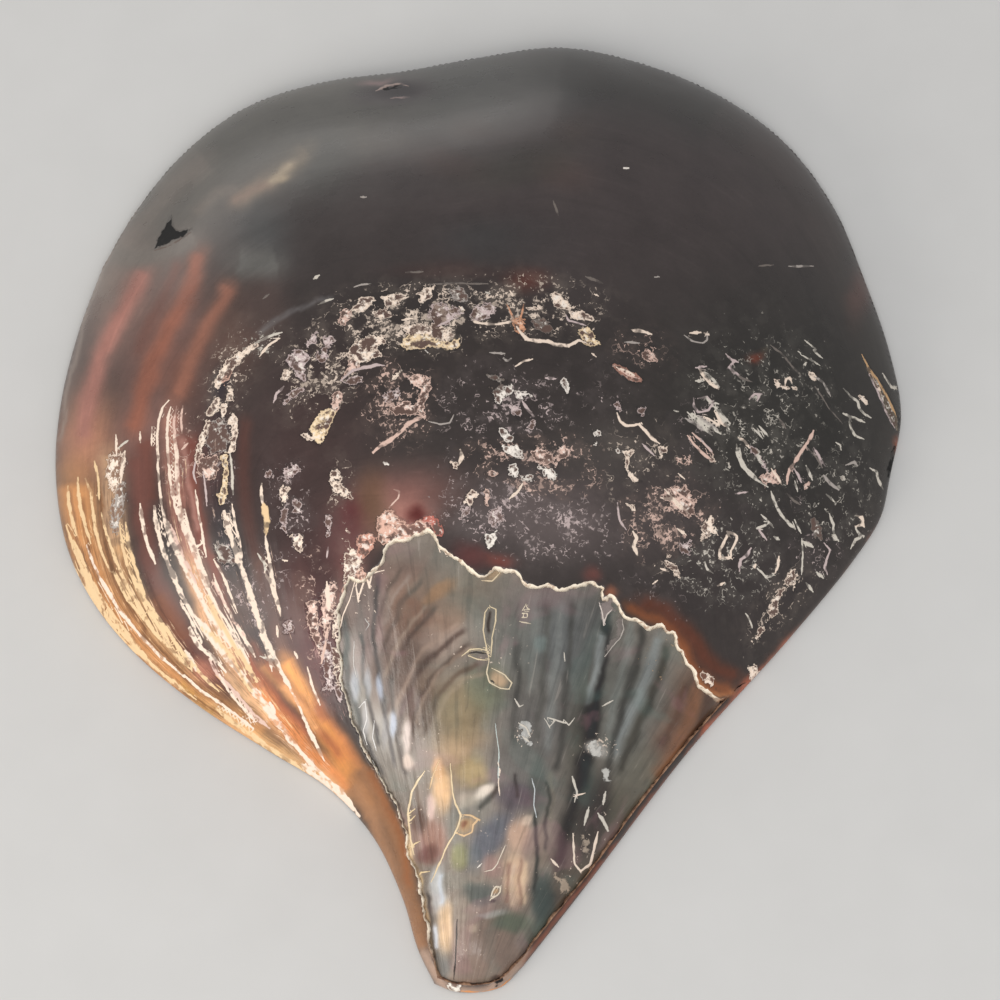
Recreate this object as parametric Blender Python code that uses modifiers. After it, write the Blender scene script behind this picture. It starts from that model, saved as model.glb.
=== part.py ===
"""One valve of a large pen shell, lying on its margin with the polished outside up.

Metres, +Z up. The apex (beak) points to -Y, the broad posterior end to +Y, the
straight hinge margin is on the +X side and the bulging ventral margin on -X.
The origin is at the middle of the footprint, in the plane that the margin rests on.

The valve is an open dome-shaped sheet given its wall with Solidify. The sheet is
made of strips that run from a spine under the crown out to the margin, goes on
straight down a little way below the resting plane, and is cut off there, which
leaves the narrow flat rim that a valve ground flat on its margin has.
"""

import math

import bmesh
import bpy
import numpy as np
from mathutils import Vector

# Driving dimensions, metres
LENGTH = 0.250          # beak to posterior margin
HEIGHT = 0.0470         # resting plane to the crown of the outside
WALL = 0.0018           # shell wall, nacre and dark layer together
LIP = 0.0004            # upright edge that grinding left round the margin
SKIRT = 0.0060          # how far the sheet runs on below the resting plane before it is cut
CROWN_POWER = 0.76      # under 1 makes the flanks steeper and the crown flatter
SPINE = (-0.112, 0.030) # the strips start on this stretch of the Y axis
SIDE_STRIPS = 34        # strips along the hinge margin, and as many along the ventral one
REAR_STRIPS = 46        # strips round the posterior margin
BEAK_STRIPS = 8         # strips round the beak
RINGS = 13              # cells from the spine to the margin
MARGIN_SAMPLES = 720    # points on the margin that the dome height is worked out from

# The margin seen from above, in four runs that share their ends, as drawn at 250 long.
DRAWN_LENGTH = 250.0
BEAK = [(-10.2, -123.0), (-5.6, -124.8), (0.0, -125.0), (5.6, -123.6), (10.6, -118.8)]
HINGE = [(10.6, -118.8), (25.4, -100.0), (50.9, -66.8), (75.1, -39.8), (92.6, -18.6), (99.8, -7.4), (102.6, 3.0)]
POSTERIOR = [
    (-97.4, 60.6), (-90.0, 76.0), (-77.6, 93.8), (-61.4, 107.4), (-41.3, 114.7), (-20.7, 117.8),
    (0.0, 122.1), (21.3, 125.0), (42.5, 120.3), (62.4, 111.0), (79.5, 97.1), (91.7, 78.3),
    (98.9, 57.2), (104.2, 37.4), (106.3, 20.0), (102.6, 3.0),
]
VENTRAL = [
    (-10.2, -123.0), (-14.1, -115.1), (-17.8, -103.2), (-25.0, -88.4), (-35.5, -76.8), (-50.8, -67.1),
    (-68.5, -55.6), (-84.2, -42.5), (-95.2, -29.2), (-102.4, -14.6), (-106.2, 5.2), (-105.8, 24.2),
    (-102.3, 43.7), (-97.4, 60.6),
]

# How heavily each run of the margin holds the dome down. Less weight is a steeper flank.
FLANK_WEIGHT = {"beak": 0.30, "hinge": 1.10, "posterior": 1.00, "ventral": 0.62}


def smooth_run(points, count):
    """Catmull-Rom curve through the points, spaced evenly along its length."""
    p = np.array(points, float) * (LENGTH / DRAWN_LENGTH)
    p = np.vstack([2 * p[0] - p[1], p, 2 * p[-1] - p[-2]])
    fine = []
    for i in range(1, len(p) - 2):
        knots = [0.0]
        for a, b in zip(p[i - 1:i + 2], p[i:i + 3]):
            knots.append(knots[-1] + math.sqrt(np.linalg.norm(b - a)))
        t0, t1, t2, t3 = knots
        for t in np.linspace(t1, t2, 24, endpoint=False):
            a1 = (t1 - t) / (t1 - t0) * p[i - 1] + (t - t0) / (t1 - t0) * p[i]
            a2 = (t2 - t) / (t2 - t1) * p[i] + (t - t1) / (t2 - t1) * p[i + 1]
            a3 = (t3 - t) / (t3 - t2) * p[i + 1] + (t - t2) / (t3 - t2) * p[i + 2]
            b1 = (t2 - t) / (t2 - t0) * a1 + (t - t0) / (t2 - t0) * a2
            b2 = (t3 - t) / (t3 - t1) * a2 + (t - t1) / (t3 - t1) * a3
            fine.append((t2 - t) / (t2 - t1) * b1 + (t - t1) / (t2 - t1) * b2)
    fine.append(p[-2])
    fine = np.array(fine)
    run = np.concatenate([[0.0], np.cumsum(np.linalg.norm(np.diff(fine, axis=0), axis=1))])
    at = np.linspace(0.0, run[-1], count)
    return np.column_stack([np.interp(at, run, fine[:, 0]), np.interp(at, run, fine[:, 1])])


def strip_ends():
    """Both ends of every strip, once round the valve: its start on the spine and its end on the margin."""
    low, high = SPINE
    sides = np.linspace(0.0, 1.0, SIDE_STRIPS + 1)
    starts, ends = [], []
    for run, at in (
        (BEAK, np.zeros(BEAK_STRIPS + 1)),
        (HINGE, sides),
        (POSTERIOR[::-1], np.ones(REAR_STRIPS + 1)),
        (VENTRAL[::-1], sides[::-1]),
    ):
        ends.append(smooth_run(run, len(at))[:-1])
        starts.append(np.column_stack([np.zeros(len(at)), low + (high - low) * at])[:-1])
    return np.vstack(starts), np.vstack(ends)


def rise_of(plan):
    """Height of the outside over each point of the plan, from a smooth distance to the margin."""
    total = np.zeros(plan.shape[:-1])
    for name, run in (("beak", BEAK), ("hinge", HINGE), ("posterior", POSTERIOR), ("ventral", VENTRAL)):
        line = smooth_run(run, MARGIN_SAMPLES // 4 + 1)
        middle, step = (line[1:] + line[:-1]) / 2, np.linalg.norm(np.diff(line, axis=0), axis=1)
        gap = np.linalg.norm(plan[..., None, :] - middle, axis=-1)
        total += (FLANK_WEIGHT[name] * step / np.maximum(gap, 1e-5) ** 3).sum(axis=-1)
    return (2.0 / total) ** 0.5


def clear_scene():
    for obj in list(bpy.data.objects):
        bpy.data.objects.remove(obj, do_unlink=True)


def collection(name):
    made = bpy.data.collections.new(name)
    bpy.context.scene.collection.children.link(made)
    return made


def shell_material():
    mat = bpy.data.materials.new("polished_shell")
    mat.use_nodes = True
    bsdf = mat.node_tree.nodes["Principled BSDF"]
    bsdf.inputs["Base Color"].default_value = (0.040, 0.030, 0.027, 1.0)
    bsdf.inputs["Roughness"].default_value = 0.24
    bsdf.inputs["Metallic"].default_value = 0.0
    bsdf.inputs["Coat Weight"].default_value = 0.4
    return mat


def valve_sheet():
    """The outside of the valve as an open sheet, with one more row below the margin all round."""
    starts, ends = strip_ends()
    around, rows = len(starts), RINGS + 1
    bm = bmesh.new()
    bmesh.ops.create_grid(bm, x_segments=around, y_segments=rows, size=0.5)
    cells = np.array([(round((v.co.x + 0.5) * around), round((v.co.y + 0.5) * rows)) for v in bm.verts])
    strip, row = cells[:, 0] % around, cells[:, 1]
    # The cells narrow towards the margin, where the flanks are steep.
    out = np.clip(row / RINGS, 0.0, 1.0)
    out = 0.45 * out + 0.55 * np.sin(0.5 * math.pi * out)
    plan = starts[strip] + out[:, None] * (ends[strip] - starts[strip])
    rise = rise_of(plan)
    z = LIP + (HEIGHT - LIP) * (rise / rise.max()) ** CROWN_POWER
    z[row == RINGS] = LIP
    z[row > RINGS] = -SKIRT
    for vert, (x, y), height in zip(bm.verts, plan, z):
        vert.co = Vector((x, y, height))
    # Closes the round and joins the strips along the spine.
    bmesh.ops.remove_doubles(bm, verts=bm.verts, dist=1e-6)
    bmesh.ops.recalc_face_normals(bm, faces=bm.faces)
    if sum(f.normal.z for f in bm.faces) < 0:
        bmesh.ops.reverse_faces(bm, faces=bm.faces)
    mesh = bpy.data.meshes.new("valve")
    bm.to_mesh(mesh)
    bm.free()
    return mesh


def main():
    clear_scene()
    parts, cutters = collection("pen_shell"), collection("cutters")

    valve = bpy.data.objects.new("valve", valve_sheet())
    parts.objects.link(valve)
    valve.data.materials.append(shell_material())
    valve.data.shade_smooth()

    wall = valve.modifiers.new("wall", "SOLIDIFY")
    wall.thickness = WALL
    wall.offset = -1.0
    wall.use_even_offset = True
    wall.use_rim = True

    bpy.ops.mesh.primitive_cube_add(size=1.0, location=(0.0, 0.0, -0.010))
    ground = bpy.context.active_object
    ground.name = "ground_cutter"
    ground.scale = (2 * LENGTH, 2 * LENGTH, 0.020)
    bpy.ops.object.transform_apply(location=False, rotation=False, scale=True)
    for held in list(ground.users_collection):
        held.objects.unlink(ground)
    cutters.objects.link(ground)
    ground.hide_render = True
    ground.display_type = "WIRE"

    cut = valve.modifiers.new("ground_flat", "BOOLEAN")
    cut.operation = "DIFFERENCE"
    cut.solver = "EXACT"
    cut.object = ground


main()
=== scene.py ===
"""Looks of the pen shell valve: the polished dark outer layer with its worn growth
lamellae, and the nacre below it, which shows where the dark layer has broken away."""

import math

import bpy
import numpy as np
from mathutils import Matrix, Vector
from mathutils.geometry import delaunay_2d_cdt


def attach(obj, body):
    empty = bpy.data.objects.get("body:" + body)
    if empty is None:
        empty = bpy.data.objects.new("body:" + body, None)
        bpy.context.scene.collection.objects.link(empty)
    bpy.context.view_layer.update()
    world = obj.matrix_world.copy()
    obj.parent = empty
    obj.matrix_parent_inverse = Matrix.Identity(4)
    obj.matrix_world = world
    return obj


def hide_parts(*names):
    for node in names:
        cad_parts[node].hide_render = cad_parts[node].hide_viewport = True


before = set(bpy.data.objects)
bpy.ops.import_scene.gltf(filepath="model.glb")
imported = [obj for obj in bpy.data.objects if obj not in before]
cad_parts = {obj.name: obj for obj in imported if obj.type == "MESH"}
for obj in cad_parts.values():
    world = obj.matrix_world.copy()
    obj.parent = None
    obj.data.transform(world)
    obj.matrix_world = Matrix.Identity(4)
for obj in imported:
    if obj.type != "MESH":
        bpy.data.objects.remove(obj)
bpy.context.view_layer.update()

MM = 0.001

# ------------------------------------------------------------------ the dome
# All plan work is in millimetres: x to the hinge side, y to the posterior end.
HEIGHT, WALL, LIP, CROWN_POWER = 47.0, 1.8, 0.4, 0.76
BEAK = [(-10.2, -123.0), (-5.6, -124.8), (0.0, -125.0), (5.6, -123.6), (10.6, -118.8)]
HINGE = [(10.6, -118.8), (25.4, -100.0), (50.9, -66.8), (75.1, -39.8), (92.6, -18.6), (99.8, -7.4), (102.6, 3.0)]
POSTERIOR = [
    (-97.4, 60.6), (-90.0, 76.0), (-77.6, 93.8), (-61.4, 107.4), (-41.3, 114.7), (-20.7, 117.8),
    (0.0, 122.1), (21.3, 125.0), (42.5, 120.3), (62.4, 111.0), (79.5, 97.1), (91.7, 78.3),
    (98.9, 57.2), (104.2, 37.4), (106.3, 20.0), (102.6, 3.0),
]
VENTRAL = [
    (-10.2, -123.0), (-14.1, -115.1), (-17.8, -103.2), (-25.0, -88.4), (-35.5, -76.8), (-50.8, -67.1),
    (-68.5, -55.6), (-84.2, -42.5), (-95.2, -29.2), (-102.4, -14.6), (-106.2, 5.2), (-105.8, 24.2),
    (-102.3, 43.7), (-97.4, 60.6),
]
FLANK_WEIGHT = {"beak": 0.30, "hinge": 1.10, "posterior": 1.00, "ventral": 0.62}


def smooth_run(points, count):
    """Catmull-Rom curve through the points, spaced evenly along its length."""
    p = np.array(points, float)
    p = np.vstack([2 * p[0] - p[1], p, 2 * p[-1] - p[-2]])
    fine = []
    for i in range(1, len(p) - 2):
        knots = [0.0]
        for a, b in zip(p[i - 1:i + 2], p[i:i + 3]):
            knots.append(knots[-1] + math.sqrt(np.linalg.norm(b - a)))
        t0, t1, t2, t3 = knots
        for t in np.linspace(t1, t2, 24, endpoint=False):
            a1 = (t1 - t) / (t1 - t0) * p[i - 1] + (t - t0) / (t1 - t0) * p[i]
            a2 = (t2 - t) / (t2 - t1) * p[i] + (t - t1) / (t2 - t1) * p[i + 1]
            a3 = (t3 - t) / (t3 - t2) * p[i + 1] + (t - t2) / (t3 - t2) * p[i + 2]
            b1 = (t2 - t) / (t2 - t0) * a1 + (t - t0) / (t2 - t0) * a2
            b2 = (t3 - t) / (t3 - t1) * a2 + (t - t1) / (t3 - t1) * a3
            fine.append((t2 - t) / (t2 - t1) * b1 + (t - t1) / (t2 - t1) * b2)
    fine.append(p[-2])
    return resample(np.array(fine), count)


def resample(line, count, closed=False):
    if closed:
        line = np.vstack([line, line[:1]])
    run = np.concatenate([[0.0], np.cumsum(np.linalg.norm(np.diff(line, axis=0), axis=1))])
    at = np.linspace(0.0, run[-1], count + (1 if closed else 0))
    out = np.column_stack([np.interp(at, run, line[:, k]) for k in range(line.shape[1])])
    return out[:-1] if closed else out


_line = [(FLANK_WEIGHT[n], smooth_run(r, 181)) for n, r in
         (("beak", BEAK), ("hinge", HINGE), ("posterior", POSTERIOR), ("ventral", VENTRAL))]
_mid = np.vstack([(l[1:] + l[:-1]) / 2 for w, l in _line])
_mass = np.concatenate([w * np.linalg.norm(np.diff(l, axis=0), axis=1) for w, l in _line])


def rise_of(plan):
    """Smooth distance to the margin, and its slope along x and y."""
    rise, slope = np.empty(len(plan)), np.empty((len(plan), 2))
    for k in range(0, len(plan), 2000):
        p = plan[k:k + 2000]
        dx, dy = p[:, :1] - _mid[:, 0], p[:, 1:] - _mid[:, 1]
        g = np.maximum(dx * dx + dy * dy, 1e-4)
        pull = _mass / (g * np.sqrt(g))
        total = pull.sum(1)
        pull *= -3.0 / g
        rise[k:k + 2000] = np.sqrt(2.0 / total)
        dt = np.column_stack([(pull * dx).sum(1), (pull * dy).sum(1)])
        slope[k:k + 2000] = (-0.5 * rise[k:k + 2000] / total)[:, None] * dt
    return rise, slope


_gx, _gy = np.meshgrid(np.arange(-30, 31, 1.5), np.arange(-20, 51, 1.5))
RISE_MAX = rise_of(np.column_stack([_gx.ravel(), _gy.ravel()]))[0].max()


def dome(plan):
    """Height and unit normal of the smooth outside over each point of the plan."""
    rise, slope = rise_of(plan)
    r = np.maximum(rise / RISE_MAX, 1e-6)
    z = LIP + (HEIGHT - LIP) * r ** CROWN_POWER
    g = ((HEIGHT - LIP) * CROWN_POWER * r ** (CROWN_POWER - 1) / RISE_MAX)[:, None] * slope
    size = np.linalg.norm(g, axis=1)
    g *= (np.minimum(size, 3.2) / np.maximum(size, 1e-9))[:, None]
    n = np.column_stack([-g, np.ones(len(plan))])
    return z, n / np.linalg.norm(n, axis=1)[:, None]


MARGIN = np.vstack([
    smooth_run(BEAK, 37)[:-1], smooth_run(HINGE, 200)[:-1],
    smooth_run(POSTERIOR[::-1], 400)[:-1], smooth_run(VENTRAL[::-1], 270)[:-1],
])                                              # counter-clockwise, starting at the beak

# ------------------------------------------------------------------ the viewing frame
# Marks on the shell are placed by where they show on a 1000 x 1000 frame seen from here.
VIEW_ELEVATION, VIEW_DISTANCE, VIEW_FOCAL = 70.0, 620.0, 2553.5
VIEW_TARGET = np.array([5.08, -8.67, 16.0])
_e = math.radians(VIEW_ELEVATION)
VIEW_BACK = np.array([0.0, -math.cos(_e), math.sin(_e)])
VIEW_RIGHT = np.array([1.0, 0.0, 0.0])
VIEW_UP = np.cross(VIEW_RIGHT, -VIEW_BACK)
VIEW_EYE = VIEW_TARGET + VIEW_DISTANCE * VIEW_BACK


def seen_at(points):
    """Frame coordinates of points in space."""
    v = points - VIEW_EYE
    q = v @ -VIEW_BACK
    return np.column_stack([500 + VIEW_FOCAL * (v @ VIEW_RIGHT) / q, 500 - VIEW_FOCAL * (v @ VIEW_UP) / q])


def plan_at(spots):
    """Plan positions of frame coordinates, on the smooth outside."""
    spots = np.asarray(spots, float)
    ray = (VIEW_RIGHT * ((spots[:, :1] - 500) / VIEW_FOCAL) - VIEW_UP * ((spots[:, 1:] - 500) / VIEW_FOCAL) - VIEW_BACK)
    z = np.full(len(spots), 20.0)
    for _ in range(14):
        p = VIEW_EYE + ray * ((z - VIEW_EYE[2]) / ray[:, 2])[:, None]
        z = 0.4 * z + 0.6 * dome(p[:, :2])[0]
    return (VIEW_EYE + ray * ((z - VIEW_EYE[2]) / ray[:, 2])[:, None])[:, :2]


# ------------------------------------------------------------------ small tools
def hashed(ij, seed):
    a = (ij[..., 0].astype(np.int64) * 374761393 + ij[..., 1].astype(np.int64) * 668265263 + seed * 144665) & 0x7FFFFFFF
    a = ((a ^ (a >> 13)) * 1274126177) & 0x7FFFFFFF
    return ((a ^ (a >> 16)) & 0xFFFFFF) / float(0xFFFFFF)


def noise(p, scale, seed=0, octaves=3, rough=0.5):
    """Smooth value noise in -1..1 over two coordinates."""
    out, amp, total = np.zeros(len(p)), 1.0, 0.0
    for o in range(octaves):
        q = p * (scale * 2.0 ** o) + 17.3 * o
        i = np.floor(q)
        f = q - i
        f = f * f * (3 - 2 * f)
        c = [hashed(i + np.array(s), seed + 31 * o) for s in ((0, 0), (1, 0), (0, 1), (1, 1))]
        v = (c[0] * (1 - f[:, 0]) + c[1] * f[:, 0]) * (1 - f[:, 1]) + (c[2] * (1 - f[:, 0]) + c[3] * f[:, 0]) * f[:, 1]
        out += amp * (2 * v - 1)
        total += amp
        amp *= rough
    return out / total


def step(a, b, x):
    t = np.clip((x - a) / (b - a), 0.0, 1.0)
    return t * t * (3 - 2 * t)


def gap_to_line(p, line, closed=False):
    """Distance from points to a polyline, and how far along it the nearest place is (0..1)."""
    line = np.asarray(line, float)
    if closed:
        line = np.vstack([line, line[:1]])
    a, b = line[:-1], line[1:]
    d = b - a
    length = np.linalg.norm(d, axis=1)
    start = np.concatenate([[0.0], np.cumsum(length)])
    best, where = np.full(len(p), 1e9), np.zeros(len(p))
    for k in range(len(a)):
        t = np.clip(((p - a[k]) @ d[k]) / max(length[k] ** 2, 1e-12), 0, 1)
        g = np.linalg.norm(p - a[k] - t[:, None] * d[k], axis=1)
        near = g < best
        best[near] = g[near]
        where[near] = (start[k] + t * length[k])[near]
    return best, where / start[-1]


def inside_ring(p, ring):
    """True for the points inside a closed ring."""
    ring = np.asarray(ring, float)
    a, b = ring, np.roll(ring, -1, axis=0)
    low, high = np.minimum(a[:, 1], b[:, 1]), np.maximum(a[:, 1], b[:, 1])
    out = np.zeros(len(p), bool)
    order = np.argsort(p[:, 1], kind="stable")
    for k in range(0, len(p), 600):
        rows = order[k:k + 600]
        q = p[rows]
        held = (high >= q[:, 1].min()) & (low <= q[:, 1].max())
        if not held.any():
            continue
        u, v = a[held], b[held]
        crosses = (u[None, :, 1] > q[:, None, 1]) != (v[None, :, 1] > q[:, None, 1])
        dy = v[:, 1] - u[:, 1]
        dy = np.where(np.abs(dy) < 1e-12, 1e-12, dy)
        x = u[:, 0] + (q[:, None, 1] - u[:, 1]) / dy * (v[:, 0] - u[:, 0])
        out[rows] = (crosses & (q[:, None, 0] < x)).sum(1) % 2 == 1
    return out


def gap_to_points(p, points, reach=12.0):
    """Distance to the nearest of the points, measured no further than the reach."""
    best = np.full(len(p), float(reach))
    tile = np.floor(p / 9.0).astype(int)
    key = tile[:, 0] * 4096 + tile[:, 1]
    order = np.argsort(key, kind="stable")
    for rows in np.split(order, np.flatnonzero(np.diff(key[order])) + 1):
        q = p[rows]
        low, high = q.min(0) - reach, q.max(0) + reach
        near = points[((points >= low) & (points <= high)).all(1)]
        if len(near):
            dx, dy = q[:, :1] - near[:, 0], q[:, 1:] - near[:, 1]
            best[rows] = np.minimum(reach, np.sqrt((dx * dx + dy * dy).min(1)))
    return best


def lattice(low, high, pitch):
    """Nested triangular lattice: points and the level (0..3) of the coarsest lattice each belongs to."""
    nj = int((high[1] - low[1]) / (pitch * math.sqrt(3) / 2)) + 2
    ni = int((high[0] - low[0]) / pitch) + 2
    j, i = np.meshgrid(np.arange(nj), np.arange(-nj // 2 - 1, ni), indexing="ij")
    i, j = i.ravel(), j.ravel()
    p = np.column_stack([low[0] + pitch * (i + j / 2), low[1] + pitch * j * math.sqrt(3) / 2])
    level = np.zeros(len(p), int)
    one = (i - j) % 3 == 0
    two = (i % 3 == 0) & (j % 3 == 0)
    three = two & ((i // 3 - j // 3) % 3 == 0)
    level[one], level[two], level[three] = 1, 2, 3
    held = (p[:, 0] >= low[0]) & (p[:, 0] <= high[0])
    return p[held], level[held]


def triangulate(free, rings):
    """Triangles over the area between the rings. Returns plan points, triangles and each ring's point numbers."""
    coords, edges, spans = [], [], []
    for ring in rings:
        first = len(coords)
        coords += [Vector((float(x), float(y))) for x, y in ring]
        edges += [(first + k, first + (k + 1) % len(ring)) for k in range(len(ring))]
        spans.append((first, len(ring)))
    coords += [Vector((float(x), float(y))) for x, y in free]
    out = delaunay_2d_cdt(coords, edges, [], 2, 1e-5)
    plan = np.array([v[:] for v in out[0]], float)
    back = np.full(len(coords), -1)
    for k, held in enumerate(out[3]):
        for i in held:
            back[i] = k
    tris, loops = np.array(out[2]), [back[first:first + count] for first, count in spans]
    # What bridges a hole, or a hollow of the outline, has all its corners on one ring.
    keep = np.ones(len(tris), bool)
    for k, loop in enumerate(loops):
        on_ring = np.zeros(len(plan), bool)
        on_ring[loop] = True
        bridge = np.where(on_ring[tris].all(1))[0]
        inside = inside_ring(plan[tris[bridge]].mean(1), rings[k])
        keep[bridge[inside if k else ~inside]] = False
    return plan, tris[keep], loops


def inset_ring(ring, distance):
    """A ring moved inward (to its left) by a distance, which can differ along it."""
    t = np.roll(ring, -1, axis=0) - np.roll(ring, 1, axis=0)
    t /= np.linalg.norm(t, axis=1)[:, None]
    return ring + np.column_stack([-t[:, 1], t[:, 0]]) * np.broadcast_to(np.asarray(distance, float), (len(ring),))[:, None]


def smooth_ring(ring, times):
    for _ in range(times):
        ring = 0.5 * ring + 0.25 * (np.roll(ring, 1, axis=0) + np.roll(ring, -1, axis=0))
    return ring

# ------------------------------------------------------------------ where the dark layer has broken away
# The broken border, from the hinge margin over the top and down the ventral side to the tip.
BORDER = [
    (747, 681), (731, 695), (722, 699), (713, 695), (707, 688), (699, 685), (697, 673), (688, 661), (679, 646),
    (675, 630), (667, 632), (662, 623), (653, 625), (650, 629), (640, 620), (627, 617), (621, 607), (615, 596),
    (607, 595), (602, 601), (605, 586), (597, 585), (592, 580), (571, 586), (559, 590), (549, 583), (537, 586),
    (525, 584), (521, 576), (513, 569), (495, 566), (485, 574), (480, 576), (468, 564), (451, 552), (440, 546),
    (434, 531), (429, 526), (421, 533), (408, 538), (395, 540), (384, 548), (379, 563), (370, 572), (362, 582),
    (350, 574), (344, 586), (341, 598), (336, 612), (339, 628), (336, 646), (341, 664), (339, 681), (346, 700),
    (348, 715), (357, 732), (360, 745), (370, 762), (381, 780), (391, 797), (400, 818), (406, 836), (406, 853),
    (413, 868), (419, 884), (421, 902), (426, 920), (428, 944), (435, 966),
]


def broken_ring():
    """The border of the broken area as a closed counter-clockwise ring, with the thin rim left along the hinge."""
    line = plan_at(BORDER)
    length = np.linalg.norm(np.diff(line, axis=0), axis=1).sum()
    line = resample(line, int(length / 0.42))
    for _ in range(3):
        line[1:-1] = 0.5 * line[1:-1] + 0.25 * (line[:-2] + line[2:])
    t = np.gradient(line, axis=0)
    t /= np.linalg.norm(t, axis=1)[:, None]
    at = np.arange(len(line)) * 0.42
    ragged = 0.50 * noise(np.column_stack([at, 0 * at]), 0.45, 3, 3, 0.6) + 0.24 * noise(np.column_stack([at, 0 * at + 9]), 1.9, 5, 1)
    ragged *= step(0, 6, at) * step(0, 8, at[-1] - at)
    line = line + np.column_stack([-t[:, 1], t[:, 0]]) * ragged[:, None]
    along = np.arange(len(MARGIN)) * 0.78
    rim = inset_ring(MARGIN, 1.12 + 0.16 * noise(np.column_stack([along, 0 * along]), 0.12, 8, 3))
    tip = int(np.argmin(np.linalg.norm(rim - line[-1], axis=1)))
    hinge = int(np.argmin(np.linalg.norm(rim - line[0], axis=1)))
    held = np.arange(tip + 3, hinge - 2 + len(MARGIN)) % len(MARGIN)
    return np.vstack([rim[held], line[1:-1]]), tip, hinge


BROKEN, TIP_AT, HINGE_AT = broken_ring()
RIM_STRETCH = np.zeros(len(MARGIN))             # 1 where only the thin rim is left outside the broken area
_k = np.arange(len(MARGIN))
_past_tip, _to_hinge = (_k - TIP_AT) % len(MARGIN), (HINGE_AT - _k) % len(MARGIN)
_on = (_past_tip + _to_hinge) < len(MARGIN)
RIM_STRETCH[_on] = (step(0, 10, _past_tip) * step(0, 12, _to_hinge))[_on]

# ------------------------------------------------------------------ the reach of the nacre, seen from inside
NACRE_REACH = [
    (88.0, -12.0), (90.0, 4.0), (86.0, 22.0), (77.0, 40.0), (62.0, 58.0), (44.0, 71.0), (22.0, 79.0), (0.0, 81.0),
    (-22.0, 77.0), (-44.0, 70.0), (-62.0, 59.0), (-76.0, 44.0), (-87.0, 26.0), (-92.0, 8.0), (-90.0, -8.0),
]


def nacre_ring():
    """Edge of the nacre: 5 mm inside the margin, at the rim beside the broken area, and across short of the posterior end."""
    away = smooth_ring(np.clip(gap_to_points(MARGIN, BROKEN) - 1.4, 0.6, 5.2)[:, None], 4)[:, 0]
    ring = smooth_ring(inset_ring(MARGIN, away), 3)
    reach = smooth_run(NACRE_REACH, 240)
    first = int(np.argmin(np.linalg.norm(ring - reach[0], axis=1)))
    last = int(np.argmin(np.linalg.norm(ring - reach[-1], axis=1)))
    at = np.arange(len(reach)) * 1.2
    reach = reach + (1.2 * noise(np.column_stack([at, 0 * at]), 0.08, 21, 3) * step(0, 20, at) * step(0, 20, at[-1] - at))[:, None] * np.array([0.3, 1.0])
    start = np.arange(last, len(ring))
    return smooth_ring(np.vstack([ring[:first + 1], reach[1:-1], ring[start]]), 2)


NACRE_EDGE = nacre_ring()


def layer_depths(plan):
    """Depth of the dark layer's inner face below the smooth outside, in mm along the normal."""
    away = gap_to_points(plan, NACRE_EDGE[::2])
    away = np.where(inside_ring(plan, NACRE_EDGE), away, 0.0)
    beside = np.minimum(gap_to_points(plan, MARGIN[RIM_STRETCH > 0.5]), gap_to_points(plan, BROKEN) + 2.0)
    return 0.88 + 0.92 * step(7.0, 0.6, away) * (1 - step(9.0, 4.0, beside))


def below(plan, depth):
    """Points that lie a depth below the smooth outside, never under the resting plane."""
    z, n = dome(plan)
    return np.column_stack([plan, np.maximum(z - depth / n[:, 2], 0.0)])


def mesh_of(name, points, faces, per_point, per_face, material):
    mesh = bpy.data.meshes.new(name)
    mesh.from_pydata((points * MM).tolist(), [], faces)
    for key, values in per_point.items():
        if values.ndim == 1:
            mesh.attributes.new(key, "FLOAT", "POINT").data.foreach_set("value", values.astype(np.float32))
        else:
            rgba = np.column_stack([values, np.ones(len(values))]).astype(np.float32)
            mesh.attributes.new(key, "FLOAT_COLOR", "POINT").data.foreach_set("color", rgba.ravel())
    for key, values in per_face.items():
        mesh.attributes.new(key, "FLOAT", "FACE").data.foreach_set("value", values.astype(np.float32))
    mesh.materials.append(material)
    mesh.polygons.foreach_set("use_smooth", np.ones(len(mesh.polygons), bool))
    mesh.update()
    obj = bpy.data.objects.new(name, mesh)
    bpy.context.scene.collection.objects.link(obj)
    return obj


def ring_faces(a, b):
    """Quads between two rings of the same count."""
    n = len(a)
    return [(int(a[k]), int(b[k]), int(b[(k + 1) % n]), int(a[(k + 1) % n])) for k in range(n)]


PITCH = 0.55
GRID, GRID_LEVEL = lattice((-110.0, -129.0), (110.0, 129.0), PITCH)
ON_SHELL = inside_ring(GRID, MARGIN)
GRID, GRID_LEVEL = GRID[ON_SHELL], GRID_LEVEL[ON_SHELL]
GRID_IN_BREAK = inside_ring(GRID, BROKEN)
GRID_TO_MARGIN = gap_to_points(GRID, MARGIN[::1])
GRID_TO_BREAK = gap_to_points(GRID, BROKEN[::2])

# ------------------------------------------------------------------ marks on the shell
# Each group of marks is drawn in an enlarged frame of its own: where its corner lies in
# the viewing frame, and how many times it is enlarged.
#   dab   soft patch, a stain, or painted light and shade where noted: tone, reach x, reach y, turn in degrees, strength, centre
#   sweep soft stroke:           tone, half width, strength, points
#   chip  flaked or chalky spot: tone, how crumbled it is (0..1), outline
#   line  thin thread of light:  tone, width, points
WHOLE = (0.0, 0.0, 1.0)
UPPER_LEFT, MIDDLE_LEFT, LOWER_LEFT = (40.0, 40.0, 4.9), (40.0, 330.0, 4.9), (40.0, 560.0, 4.9)
UPPER_MIDDLE, MIDDLE, RIGHT = (340.0, 40.0, 4.9), (340.0, 300.0, 4.9), (620.0, 330.0, 5.057)
BREAK_TOP, TIP = (330.0, 500.0, 5.807), (380.0, 700.0, 5.227)
TIP_END, FAN = (380.0, 760.0, 5.444), (320.0, 540.0, 3.267)

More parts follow.
